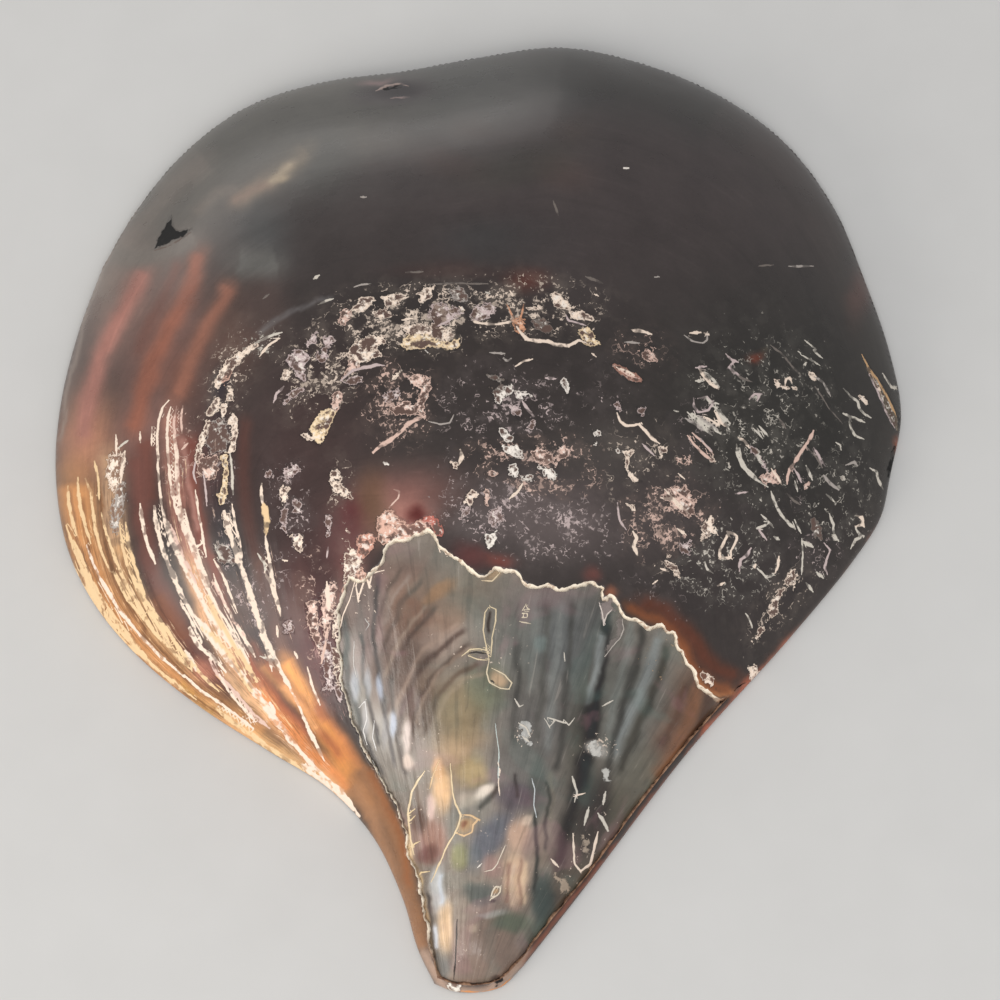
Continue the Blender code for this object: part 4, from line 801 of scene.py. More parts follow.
NACRE_BASE = (132, 122, 112)
NACRE_MARKS = [
    (WHOLE, [
        # the two light dabs on the left are painted highlights
        ("dab", (152, 132, 126), 40, 40, 0, 0.9, (360, 640)),
        ("dab", (182, 176, 168), 26, 42, -20, 0.95, (384, 715)),
        ("dab", (128, 106, 96), 46, 22, 0, 0.85, (395, 575)),
        ("dab", (146, 112, 92), 34, 30, 0, 0.8, (428, 604)),
        ("dab", (126, 114, 100), 30, 22, 0, 0.8, (475, 588)),
        ("dab", (170, 146, 132), 34, 24, 0, 0.8, (440, 636)),
        ("dab", (118, 92, 74), 18, 34, 20, 0.8, (418, 700)),
        ("dab", (146, 130, 106), 30, 34, 0, 0.8, (462, 704)),
        ("dab", (112, 112, 106), 60, 60, 0, 0.9, (535, 640)),
        ("dab", (102, 104, 104), 34, 50, 0, 0.8, (568, 640)),
        ("dab", (88, 88, 86), 18, 60, 12, 0.85, (592, 640)),
        ("dab", (100, 97, 94), 40, 40, 0, 0.8, (540, 725)),
        ("dab", (72, 70, 62), 18, 70, 12, 0.9, (586, 720)),
        ("dab", (102, 102, 96), 40, 60, 10, 0.9, (632, 690)),
        ("dab", (112, 112, 106), 24, 40, 10, 0.8, (622, 740)),
        ("dab", (98, 74, 60), 24, 56, 12, 0.95, (690, 712)),
        ("dab", (118, 92, 78), 20, 30, 10, 0.8, (670, 745)),
        ("dab", (84, 80, 68), 40, 40, 30, 0.8, (612, 810)),
        ("dab", (100, 96, 84), 22, 30, 0, 0.7, (645, 770)),
        ("dab", (84, 74, 64), 40, 60, 30, 0.8, (570, 890)),
        ("dab", (190, 158, 122), 24, 36, 10, 0.8, (458, 750)),
        ("dab", (116, 112, 108), 36, 40, 0, 0.8, (520, 785)),
        ("dab", (144, 136, 128), 24, 40, 0, 0.8, (480, 815)),
        ("dab", (172, 150, 134), 40, 44, 0, 0.85, (510, 850)),
        ("dab", (164, 148, 134), 34, 44, 0, 0.85, (468, 905)),
        ("dab", (130, 112, 98), 30, 40, 0, 0.9, (495, 950)),
        ("dab", (190, 176, 162), 16, 24, 0, 0.8, (446, 960)),
        ("dab", (134, 110, 96), 14, 40, 0, 0.8, (420, 830)),
        # torn flaps under the border, with a painted shadow between them
        ("chip", (152, 137, 132), 0.0, [(600, 603), (603, 614), (604, 622), (607, 613), (611, 609), (615, 610), (614, 604), (615, 599), (613, 595), (608, 595), (604, 600)]),
        ("line", (220, 206, 196), 1.3, [(600, 602), (603, 614), (604, 622), (607, 613), (611, 609)]), ("sweep", (46, 41, 38), 3, 0.9, [(610, 613), (605, 628), (601, 646), (602, 660)]),
        ("chip", (130, 119, 113), 0.0, [(617, 617), (623, 618), (624, 627), (621, 636), (614, 644), (609, 649), (606, 654), (606, 648), (609, 642), (615, 635), (618, 627)]),
        ("line", (190, 180, 170), 1.0, [(623, 619), (624, 628), (620, 637), (612, 646), (606, 654)]),
        # grooves and ribs on the right: the pale grey sweeps are painted highlights on the ribs and the dark sweeps
        # beside them painted shade in the grooves
        ("sweep", (44, 42, 40), 5, 0.95, [(610, 622), (604, 655), (599, 690), (594, 725), (588, 760), (582, 790)]), ("sweep", (150, 154, 152), 4, 0.8, [(602, 634), (596, 668), (588, 704)]),
        ("sweep", (140, 144, 142), 6, 0.8, [(660, 634), (652, 660), (640, 690), (626, 722), (613, 754)]), ("sweep", (66, 62, 54), 4, 0.8, [(668, 642), (660, 670), (648, 702), (634, 736), (620, 770)]),
        ("sweep", (128, 130, 124), 4, 0.7, [(632, 622), (626, 656), (618, 690), (608, 730)]), ("sweep", (54, 52, 48), 4, 0.7, [(642, 626), (636, 660), (628, 694), (616, 734), (606, 770)]),
        ("sweep", (132, 134, 130), 4, 0.6, [(562, 600), (558, 650), (552, 700), (546, 750)]), ("sweep", (62, 60, 56), 4, 0.6, [(574, 600), (570, 650), (564, 710), (556, 770)]),
        ("sweep", (130, 132, 126), 4, 0.5, [(534, 596), (534, 640), (530, 690)]), ("sweep", (74, 72, 66), 4, 0.5, [(548, 600), (546, 650), (542, 700), (536, 740)]), ("sweep", (60, 58, 54), 4, 0.5, [(518, 640), (518, 690), (514, 740)]),
        ("sweep", (128, 130, 126), 2.5, 0.5, [(606, 636), (602, 656), (598, 672)]),
        ("chip", (216, 212, 204), 0.4, [(588, 744), (594, 740), (602, 750), (600, 757), (592, 752)]), ("chip", (216, 212, 204), 0.3, [(602, 768), (608, 768), (610, 782), (604, 780)]),
        ("line", "silver", 2.0, [(520, 722), (526, 726), (530, 734)]), ("line", "silver", 2.0, [(524, 736), (529, 740)]), ("chip", (206, 204, 198), 0.7, [(518, 720), (532, 722), (530, 742), (520, 738)]),
        ("line", "silver", 1.8, [(548, 716), (566, 722)]), ("line", "silver", 2.2, [(604, 704), (612, 700)]), ("line", "cream", 1.8, [(575, 795), (584, 792)]),
        ("sweep", (150, 100, 70), 8, 0.6, [(700, 684), (692, 716), (676, 746), (658, 776)]), ("sweep", (70, 50, 42), 5, 0.6, [(712, 690), (702, 724), (684, 758)]), ("sweep", (86, 60, 48), 4, 0.6, [(686, 684), (678, 712), (664, 742)]),
    ]),
    (TIP, [
        ("dab", (60, 53, 50), 90, 240, 12, 0.9, (1110, 600)), ("chip", (190, 170, 150), 0.5, [(1060, 710), (1100, 720), (1080, 790), (1060, 780)]), ("line", "cream", 2.4, [(1010, 700), (1020, 850), (1050, 890), (1100, 850), (1140, 690)]),
        ("line", "silver", 3.0, [(1180, 480), (1170, 530)]), ("line", "silver", 3.6, [(1145, 590), (1172, 630), (1190, 670)]), ("line", "silver", 2.4, [(1090, 560), (1070, 640)]), ("chip", (190, 168, 146), 0.45, [(910, 900), (980, 940), (990, 1000), (950, 1000)]),
        # dark sweep: painted shade in the groove that runs on from the right; the pale and dark pair below it paint a
        # rib's highlight and shade
        ("sweep", (44, 40, 38), 8, 0.9, [(1100, 0), (1090, 230), (1040, 420), (980, 640), (930, 850)]), ("line", "silver", 2.2, [(1010, 400), (1030, 470), (1020, 520)]),
        ("sweep", (150, 140, 128), 5, 0.6, [(880, 860), (840, 1000), (780, 1150), (720, 1280)]), ("sweep", (70, 62, 56), 5, 0.6, [(920, 1000), (860, 1120), (800, 1250)]), ("line", "cream", 2.0, [(900, 830), (930, 860)]),
    ]),
    (TIP_END, [
        # tones of the tip
        ("dab", (136, 116, 104), 230, 190, 0, 0.95, (560, 1060)), ("dab", (116, 114, 110), 60, 110, 0, 0.9, (320, 1120)), ("dab", (206, 206, 204), 44, 150, 0, 0.9, (320, 700)),
        ("dab", (240, 204, 164), 46, 150, 0, 0.95, (350, 900)), ("dab", (66, 77, 74), 64, 170, 0, 0.85, (890, 760)), ("dab", (90, 94, 85), 70, 130, 20, 0.7, (850, 980)),
        ("dab", (92, 101, 85), 110, 56, 0, 0.8, (720, 880)), ("dab", (88, 94, 90), 100, 64, 0, 0.8, (540, 720)), ("dab", (107, 107, 116), 200, 84, -52, 0.9, (600, 420)),
        ("dab", (92, 82, 88), 110, 84, 0, 0.85, (740, 190)), ("dab", (209, 173, 149), 66, 96, 0, 0.9, (750, 400)), ("dab", (224, 189, 156), 70, 150, 0, 0.95, (735, 650)),
        ("dab", (167, 134, 125), 64, 64, 0, 0.8, (615, 570)), ("dab", (156, 151, 107), 50, 76, 10, 0.85, (430, 520)), ("dab", (167, 123, 107), 74, 120, 0, 0.8, (290, 420)),
        ("dab", (246, 213, 202), 26, 66, 0, 0.8, (275, 250)), ("dab", (92, 68, 58), 40, 66, 0, 0.9, (208, 320)), ("dab", (103, 66, 57), 48, 56, 0, 0.9, (262, 495)),
        ("dab", (226, 182, 134), 54, 130, 0, 0.95, (335, 160)), ("dab", (215, 169, 123), 40, 70, 0, 0.9, (318, 40)), ("dab", (184, 160, 118), 84, 90, 0, 0.9, (500, 60)),
        ("dab", (189, 173, 156), 62, 44, 0, 0.8, (480, 210)), ("dab", (250, 233, 215), 66, 32, -40, 0.95, (565, 165)), ("dab", (88, 94, 88), 50, 190, 0, 0.6, (860, 150)),
        ("dab", (167, 140, 125), 160, 30, 0, 0.8, (600, 1225)), ("dab", (92, 72, 66), 28, 22, 0, 0.95, (636, 1190)), ("dab", (184, 165, 143), 30, 24, 0, 0.6, (505, 915)),
        ("dab", (193, 193, 189), 90, 20, -10, 0.5, (610, 840)), ("dab", (248, 220, 195), 40, 24, -30, 0.6, (800, 320)), ("dab", (132, 121, 105), 26, 120, 0, 0.6, (890, 470)),
        ("sweep", (58, 58, 54), 2.2, 0.9, [(850, 280), (856, 420), (862, 560), (850, 700)]), ("sweep", (66, 66, 60), 2.0, 0.8, [(915, 100), (910, 300), (905, 480)]), ("sweep", (132, 124, 110), 2.4, 0.6, [(935, 60), (935, 260), (925, 460)]),
        ("sweep", (150, 118, 100), 2.0, 0.7, [(700, 560), (698, 660), (694, 780)]), ("sweep", (226, 198, 170), 2.2, 0.8, [(722, 570), (722, 680), (716, 790)]), ("sweep", (154, 122, 102), 1.8, 0.7, [(760, 540), (762, 660), (756, 790)]), ("sweep", (222, 192, 160), 2.0, 0.7, [(786, 560), (786, 680), (778, 780)]),
        ("sweep", (70, 58, 52), 2.6, 0.8, [(540, 270), (610, 190), (632, 130)]), ("sweep", (60, 52, 50), 2.0, 0.7, [(740, 60), (742, 150), (748, 210)]),
        # the two silver-white sweeps are painted highlights
        ("sweep", (214, 218, 224), 2.4, 0.95, [(345, 620), (334, 700), (328, 770)]), ("sweep", (224, 226, 232), 2.2, 0.95, [(292, 900), (298, 960), (308, 1010)]), ("sweep", (60, 54, 52), 1.8, 0.8, [(262, 720), (268, 860), (284, 980), (300, 1080)]),
        ("sweep", (226, 200, 160), 3.6, 1.0, [(118, 350), (146, 440), (168, 520), (192, 600), (214, 680)]), ("sweep", (196, 166, 130), 3.0, 0.9, [(222, 700), (242, 800), (258, 920), (276, 1040), (290, 1120)]),
        # threads of light and torn edges
        ("line", (232, 208, 168), 1.7, [(382, 20), (388, 90), (394, 170), (408, 230), (440, 290), (430, 340), (404, 395), (366, 460), (330, 540), (300, 610), (282, 650)]),
        ("line", (226, 190, 146), 1.8, [(445, 292), (490, 296), (534, 318), (508, 346), (500, 388), (458, 406), (420, 392)]), ("dab", (206, 166, 122), 44, 46, 0, 0.9, (466, 350)), ("dab", (142, 92, 66), 16, 26, 20, 0.9, (462, 348)),
        ("line", (218, 184, 138), 1.5, [(272, 140), (284, 90), (300, 40), (322, 0)]), ("line", (228, 200, 160), 2.4, [(0, 145), (40, 205), (80, 280), (106, 336)]),
        ("line", (232, 208, 170), 2.2, [(238, 58), (200, 110), (172, 165), (158, 230), (150, 285), (158, 350), (164, 430), (182, 500)]), ("line", (230, 204, 160), 1.2, [(150, 290), (184, 262)]), ("line", (230, 204, 160), 1.2, [(160, 330), (186, 300)]),
        ("line", (230, 204, 160), 1.3, [(166, 470), (188, 446), (210, 436)]), ("line", (230, 204, 160), 1.4, [(200, 640), (222, 606), (262, 600)]), ("dab", (234, 206, 160), 22, 46, 0, 0.95, (222, 660)), ("line", (234, 208, 164), 1.4, [(88, 345), (104, 380), (122, 430)]),
        ("line", "cream", 1.4, [(640, 0), (654, 50), (645, 115), (650, 178)]), ("line", (210, 214, 214), 1.0, [(830, 100), (842, 160), (838, 240), (850, 300)]), ("line", (236, 220, 196), 1.4, [(655, 682), (628, 684), (612, 712), (600, 752)]),
        ("line", (236, 220, 196), 1.4, [(656, 684), (652, 712), (636, 732), (604, 752)]), ("dab", (200, 160, 118), 14, 22, 20, 0.9, (632, 708)), ("dab", (52, 50, 48), 18, 10, 0, 0.8, (622, 768)),
        ("line", (52, 40, 34), 1.3, [(420, 870), (414, 1000), (408, 1100), (402, 1180)]), ("line", "white", 1.4, [(548, 104 + 460), (536, 576)]), ("line", (236, 220, 200), 1.2, [(575, 600), (612, 592), (640, 560), (680, 466)]),
        ("chip", (240, 232, 222), 0.0, [(380, 1220), (398, 1196), (428, 1222), (440, 1240), (412, 1246), (384, 1242)]), ("line", (222, 160, 110), 1.2, [(440, 1250), (520, 1256), (600, 1248), (650, 1232)]),
    ]),
    (FAN, [
        # brownish waves across the fan, from the upper right to the lower left
        ("dab", (122, 107, 101), 84, 120, 0, 0.8, (130, 190)), ("dab", (116, 88, 74), 100, 74, -45, 0.8, (300, 240)), ("dab", (104, 84, 74), 140, 84, -55, 0.9, (250, 430)), ("dab", (98, 82, 72), 50, 74, 0, 0.8, (322, 540)), ("dab", (110, 94, 86), 40, 60, 0, 0.8, (80, 260)),
        ("dab", (164, 120, 84), 64, 24, -35, 0.7, (390, 165)), ("dab", (134, 118, 90), 90, 90, 0, 0.7, (460, 560)), ("dab", (108, 114, 92), 70, 90, 0, 0.6, (540, 470)), ("dab", (140, 112, 94), 60, 40, -30, 0.7, (420, 250)),
        ("sweep", (84, 66, 58), 3.0, 0.8, [(470, 290), (400, 340), (340, 400), (300, 470), (268, 560), (258, 640)]), ("sweep", (80, 64, 56), 3.0, 0.8, [(480, 345), (420, 390), (360, 455), (325, 530), (300, 620), (296, 690)]),
        ("sweep", (96, 78, 64), 3.0, 0.7, [(520, 400), (450, 430), (400, 480), (360, 560), (335, 640)]), ("sweep", (88, 70, 62), 2.6, 0.7, [(380, 220), (310, 290), (260, 370), (228, 470), (220, 560)]),
        ("sweep", (92, 76, 68), 2.6, 0.7, [(330, 120), (270, 200), (225, 290), (200, 390), (196, 480)]), ("sweep", (90, 78, 70), 2.4, 0.6, [(260, 90), (215, 170), (190, 260), (178, 340)]),
        ("sweep", (166, 142, 126), 2.4, 0.6, [(440, 270), (370, 325), (318, 385), (280, 460), (250, 540)]), ("sweep", (164, 142, 124), 2.4, 0.6, [(500, 350), (440, 378), (384, 432), (340, 505), (312, 590)]), ("sweep", (158, 138, 122), 2.2, 0.6, [(350, 210), (290, 270), (245, 350), (214, 440)]),
        ("sweep", (160, 142, 120), 2.4, 0.5, [(540, 430), (470, 450), (420, 500), (380, 580)]), ("sweep", (150, 134, 124), 2.0, 0.6, [(290, 110), (240, 190), (206, 270)]),
        # ribs on the left, with painted highlights where they catch the light and painted shade in the grooves between
        ("sweep", (74, 70, 68), 3.4, 0.9, [(78, 250), (84, 360), (96, 470), (128, 590), (170, 700), (200, 760)]), ("sweep", (80, 74, 72), 2.6, 0.9, [(186, 110), (178, 230), (176, 330), (196, 440), (206, 540), (226, 640), (250, 730)]),
        ("sweep", (86, 80, 78), 2.2, 0.8, [(130, 300), (140, 420), (160, 540), (190, 660)]), ("sweep", (84, 74, 68), 2.4, 0.8, [(232, 440), (238, 540), (256, 640), (284, 760)]),
        ("dab", (172, 174, 180), 14, 56, 0, 0.9, (116, 470)), ("dab", (160, 160, 164), 12, 50, 0, 0.85, (158, 460)), ("dab", (186, 192, 206), 12, 46, 0, 0.9, (196, 480)), ("dab", (190, 198, 214), 12, 46, 0, 0.9, (240, 600)),
        ("dab", (224, 206, 196), 14, 60, 0, 0.95, (288, 640)), ("dab", (216, 196, 180), 12, 24, 0, 0.9, (290, 720)), ("dab", (176, 172, 172), 12, 60, 0, 0.7, (142, 580)), ("dab", (150, 146, 146), 12, 50, 0, 0.7, (210, 620)),
        ("line", (216, 212, 208), 1.2, [(128, 540), (146, 520), (152, 580), (140, 620), (152, 660)]), ("line", (216, 212, 208), 1.0, [(176, 590), (170, 640), (182, 680)]), ("line", (206, 202, 198), 1.2, [(172, 720), (196, 770), (224, 840)]),
        ("line", (190, 184, 178), 1.0, [(150, 255), (160, 270), (150, 285)]), ("line", (196, 190, 184), 1.0, [(110, 330), (108, 400), (118, 440)]),
        # fingers of the broken border
        ("line", "cream", 1.6, [(108, 150), (122, 96), (118, 150), (124, 192), (136, 150), (150, 112), (160, 146), (170, 104), (204, 94)]), ("line", "cream", 1.3, [(60, 300), (74, 240), (96, 190), (108, 150)]),
        ("line", "cream", 1.2, [(380, 0), (390, 30), (400, 16), (412, 44), (430, 20)]), ("dab", (176, 150, 120), 40, 22, -25, 0.9, (566, 108)), ("line", (226, 204, 170), 1.2, [(532, 128), (562, 130), (586, 104)]),
        # burrow scar
        ("line", (226, 206, 170), 1.3, [(552, 212), (538, 232), (534, 290), (542, 340), (552, 384)]), ("line", (226, 206, 170), 1.3, [(552, 212), (574, 222), (574, 260), (562, 316), (558, 380)]), ("sweep", (58, 47, 40), 1.6, 0.95, [(556, 226), (550, 260), (549, 300)]),
        ("line", (226, 206, 170), 1.2, [(466, 372), (492, 352), (520, 350), (548, 358)]), ("line", (226, 206, 170), 1.2, [(484, 374), (516, 386), (548, 388)]), ("line", (48, 40, 34), 1.4, [(482, 366), (510, 362), (540, 368)]),
        ("dab", (196, 166, 134), 34, 22, 35, 0.95, (584, 450)), ("line", (230, 212, 180), 1.2, [(552, 392), (544, 430), (554, 462), (590, 480), (618, 484), (626, 462), (604, 436), (566, 416)]), ("line", (20, 16, 14), 2.0, [(556, 456), (566, 460)]),
        ("line", (226, 210, 184), 0.9, [(672, 208), (664, 222), (680, 222), (672, 208)]), ("line", (226, 210, 184), 0.9, [(665, 235), (678, 235), (678, 248), (665, 248), (665, 235)]), ("line", (226, 210, 184), 1.2, [(656, 262), (684, 268)]),
        ("line", "silver", 1.6, [(638, 518), (652, 540), (660, 536)]), ("line", "silver", 1.2, [(798, 368), (800, 388)]), ("chip", (190, 172, 156), 0.3, [(660, 600), (684, 610), (690, 630), (668, 648), (652, 632)]), ("line", "silver", 1.0, [(736, 580), (750, 606), (766, 590)]), ("line", "silver", 1.0, [(800, 586), (814, 602), (830, 580)]),
        ("dab", (186, 180, 172), 40, 22, 30, 0.8, (900, 680)), ("dab", (210, 206, 198), 20, 14, 30, 0.8, (890, 674)), ("dab", (126, 142, 138), 24, 30, 0, 0.5, (720, 340)), ("line", (206, 214, 208), 1.0, [(574, 600), (584, 690), (582, 780)]),
    ]),
]
NACRE_DUST = [
    (WHOLE, (600, 745), 22, 14, 0, 0.8, "cream"), (WHOLE, (525, 732), 14, 14, 0, 0.7, "cream"), (WHOLE, (480, 650), 60, 50, 0, 0.3, "cream"), (WHOLE, (372, 600), 26, 40, 0, 0.45, "cream"), (WHOLE, (585, 850), 30, 50, 20, 0.45, "cream"), (WHOLE, (430, 780), 30, 60, 0, 0.4, "cream"),
    (WHOLE, (660, 660), 30, 30, 0, 0.35, "tan"), (WHOLE, (500, 860), 60, 60, 0, 0.3, "cream"), (WHOLE, (470, 940), 30, 40, 0, 0.35, "cream"),
]


def placed(spot, points):
    """Points of a mark, brought from its enlarged frame into the viewing frame."""
    x, y, times = spot
    return np.asarray(points, float) / times + np.array([x, y])


def shade(tone):
    return np.array(TONES[tone] if isinstance(tone, str) else tone, float)


def linear(rgb):
    """Display colour (0..255) as linear light."""
    c = np.clip(rgb, 0, 255) / 255.0
    return np.where(c <= 0.04045, c / 12.92, ((c + 0.055) / 1.055) ** 2.4)


def around(p, points, reach):
    low, high = points.min(0) - reach, points.max(0) + reach
    return np.where(((p >= low) & (p <= high)).all(1))[0]


def side_of_line(p, line):
    """Signed distance across a polyline, plain distance to it, and how far along it (0..1)."""
    a, b = line[:-1], line[1:]
    d = b - a
    length = np.maximum(np.linalg.norm(d, axis=1), 1e-9)
    start = np.concatenate([[0.0], np.cumsum(length)])
    best, side, where = np.full(len(p), 1e9), np.zeros(len(p)), np.zeros(len(p))
    for k in range(len(a)):
        t = np.clip(((p - a[k]) @ d[k]) / length[k] ** 2, 0, 1)
        off = p - a[k] - t[:, None] * d[k]
        g = np.linalg.norm(off, axis=1)
        near = g < best
        across = (d[k][0] * (p[:, 1] - a[k][1]) - d[k][1] * (p[:, 0] - a[k][0])) / length[k]
        best[near], side[near], where[near] = g[near], across[near], (start[k] + t * length[k])[near]
    return side, best, where / start[-1]


def marked(at, marks, dust, lamellae, base, gloss):
    """What each point carries, from the marks that lie round it: tones, flakes, threads, crumbs, worn lamellae."""
    n = len(at)
    warp = at + np.column_stack([noise(at, 0.05, 41, 3), noise(at, 0.05, 42, 3)]) * 4.0
    tone = np.tile(np.array(base, float), (n, 1))
    chip, crumble, chip_tone = np.full(n, 6.0), np.zeros(n), np.tile(shade("cream"), (n, 1))
    side, gap, line_tone = np.full(n, 3.0), np.full(n, 3.0), np.tile(shade("cream"), (n, 1))
    for spot, drawn in marks:
        for mark in drawn:
            kind, colour = mark[0], shade(mark[1])
            if kind == "dab":
                _, _, rx, ry, turn, strength, centre = mark
                c, s = math.cos(math.radians(turn)), math.sin(math.radians(turn))
                rx, ry = rx / (1 if spot[2] == 1 else spot[2]), ry / (1 if spot[2] == 1 else spot[2])
                q = warp - placed(spot, centre)
                u, v = (q[:, 0] * c + q[:, 1] * s) / rx, (-q[:, 0] * s + q[:, 1] * c) / ry
                w = (strength * np.exp(-(u * u + v * v) ** (2.2 if spot[2] > 1 and gloss > 0.018 else 1.3)))[:, None]
                tone = tone * (1 - w) + colour * w
            elif kind == "sweep":
                _, _, width, strength, points = mark
                line = placed(spot, points)
                held = around(warp, line, 2.2 * width)
                _, g, t = side_of_line(warp[held], line)
                w = (strength * np.exp(-(g / width) ** 2.4) * step(0, 0.06, t + 0.03) * step(0, 0.06, 1.03 - t))[:, None]
                tone[held] = tone[held] * (1 - w) + colour * w
            elif kind == "chip":
                _, _, how, points = mark
                ring = placed(spot, points)
                held = around(at, ring, 6.0)
                if not len(held):
                    continue
                g = gap_to_line(at[held], ring, closed=True)[0] * np.where(inside_ring(at[held], ring), -1, 1)
                near = g < chip[held]
                k = held[near]
                chip[k], crumble[k], chip_tone[k] = g[near], how, colour
            else:
                _, _, width, points = mark
                line = placed(spot, points)
                held = around(at, line, 8.0)
                if not len(held):
                    continue
                s, g, t = side_of_line(at[held], line)
                length = np.linalg.norm(np.diff(line, axis=0), axis=1).sum()
                seed = int(abs(line[0, 0] * 7 + line[0, 1] * 13)) % 997
                run = np.column_stack([t * length, np.full(len(t), float(seed))])
                half = 0.5 * width * (1 + 0.45 * noise(run, 0.16, seed, 2)) * (0.45 + 0.55 * step(0, 0.12, t) * step(0, 0.12, 1 - t))
                if length > 8:
                    s = s + 0.5 * noise(run, 0.12, seed + 5, 2)
                u = g / (half + 1.5)
                near = u < gap[held]
                k = held[near]
                gap[k], side[k], line_tone[k] = u[near], np.clip(s / half, -3, 3)[near], colour
    thick, dust_tone = np.zeros(n), np.tile(shade("cream"), (n, 1))
    for spot, centre, rx, ry, turn, how, colour in dust:
        c, s = math.cos(math.radians(turn)), math.sin(math.radians(turn))
        q = warp - placed(spot, centre)
        u, v = (q[:, 0] * c + q[:, 1] * s) / rx, (-q[:, 0] * s + q[:, 1] * c) / ry
        w = how * np.exp(-(u * u + v * v) ** 1.2)
        k = w > thick
        thick[k], dust_tone[k] = w[k], shade(colour)
    layer, layer_tone = np.zeros(n), np.tile(shade("cream"), (n, 1))
    for width, how, colour, points in lamellae:
        line = np.asarray(points, float)
        held = around(warp, line, 1.3 * width)
        _, g, t = side_of_line(warp[held], line)
        w = how * step(1.25 * width, 0.6 * width, g) * step(0, 0.08, t) * step(0, 0.08, 1 - t)
        near = w > layer[held]
        k = held[near]
        layer[k], layer_tone[k] = w[near], colour
    return {
        "tone": np.maximum(linear(tone) - gloss, 0.006), "chip": chip, "crumble": crumble, "chip_tone": linear(chip_tone), "side": side, "gap": gap,
        "line_tone": linear(line_tone), "dust": thick, "dust_tone": linear(dust_tone), "lamella": layer, "lamella_tone": linear(layer_tone),
    }


# ------------------------------------------------------------------ how the shell grew
def growth_controls():
    """Places in the viewing frame, with the stage of growth they belong to."""
    margin = seen_at(np.column_stack([MARGIN, np.full(len(MARGIN), LIP)]))
    rear = margin[margin[:, 1] < 430]
    rear = rear[np.argsort(np.arctan2(560 - rear[:, 1], rear[:, 0] - 480))[::-1]]
    out = []
    for stage, left in GROWTH:
        held = np.array(APEX) + stage * (rear - np.array(APEX))
        held = held[(held[:, 0] > 457) | (held[:, 1] < left[0][1] - 16)]
        line = np.vstack([np.array(left, float)[::-1], held])
        count = int(np.linalg.norm(np.diff(line, axis=0), axis=1).sum() / 34)
        out.append(np.column_stack([resample(line, count), np.full(count, stage)]))
    inside = np.array([[450.0, 985.0, 0.18], [560.0, 800.0, 0.30], [500.0, 900.0, 0.16]])
    return np.vstack(out + [inside])


def growth_of(at):
    """Stage of growth (thin-plate spline) and turn round the growth line for points in the viewing frame."""
    c = growth_controls()
    p = c[:, :2] / 100.0
    kernel = lambda r2: 0.5 * r2 * np.log(np.maximum(r2, 1e-12))
    d = p[:, None] - p[None]
    k = kernel((d ** 2).sum(-1)) + 0.03 * np.eye(len(p))
    poly = np.column_stack([np.ones(len(p)), p])
    system = np.block([[k, poly], [poly.T, np.zeros((3, 3))]])
    solved = np.linalg.solve(system, np.concatenate([c[:, 2], np.zeros(3)]))
    out = np.empty(len(at))
    for i in range(0, len(at), 6000):
        q = at[i:i + 6000] / 100.0
        r2 = ((q[:, None] - p[None]) ** 2).sum(-1)
        out[i:i + 6000] = kernel(r2) @ solved[:-3] + np.column_stack([np.ones(len(q)), q]) @ solved[-3:]
    return out, np.arctan2(480.0 - at[:, 0], at[:, 1] - 760.0) % (2 * math.pi) / 3.0


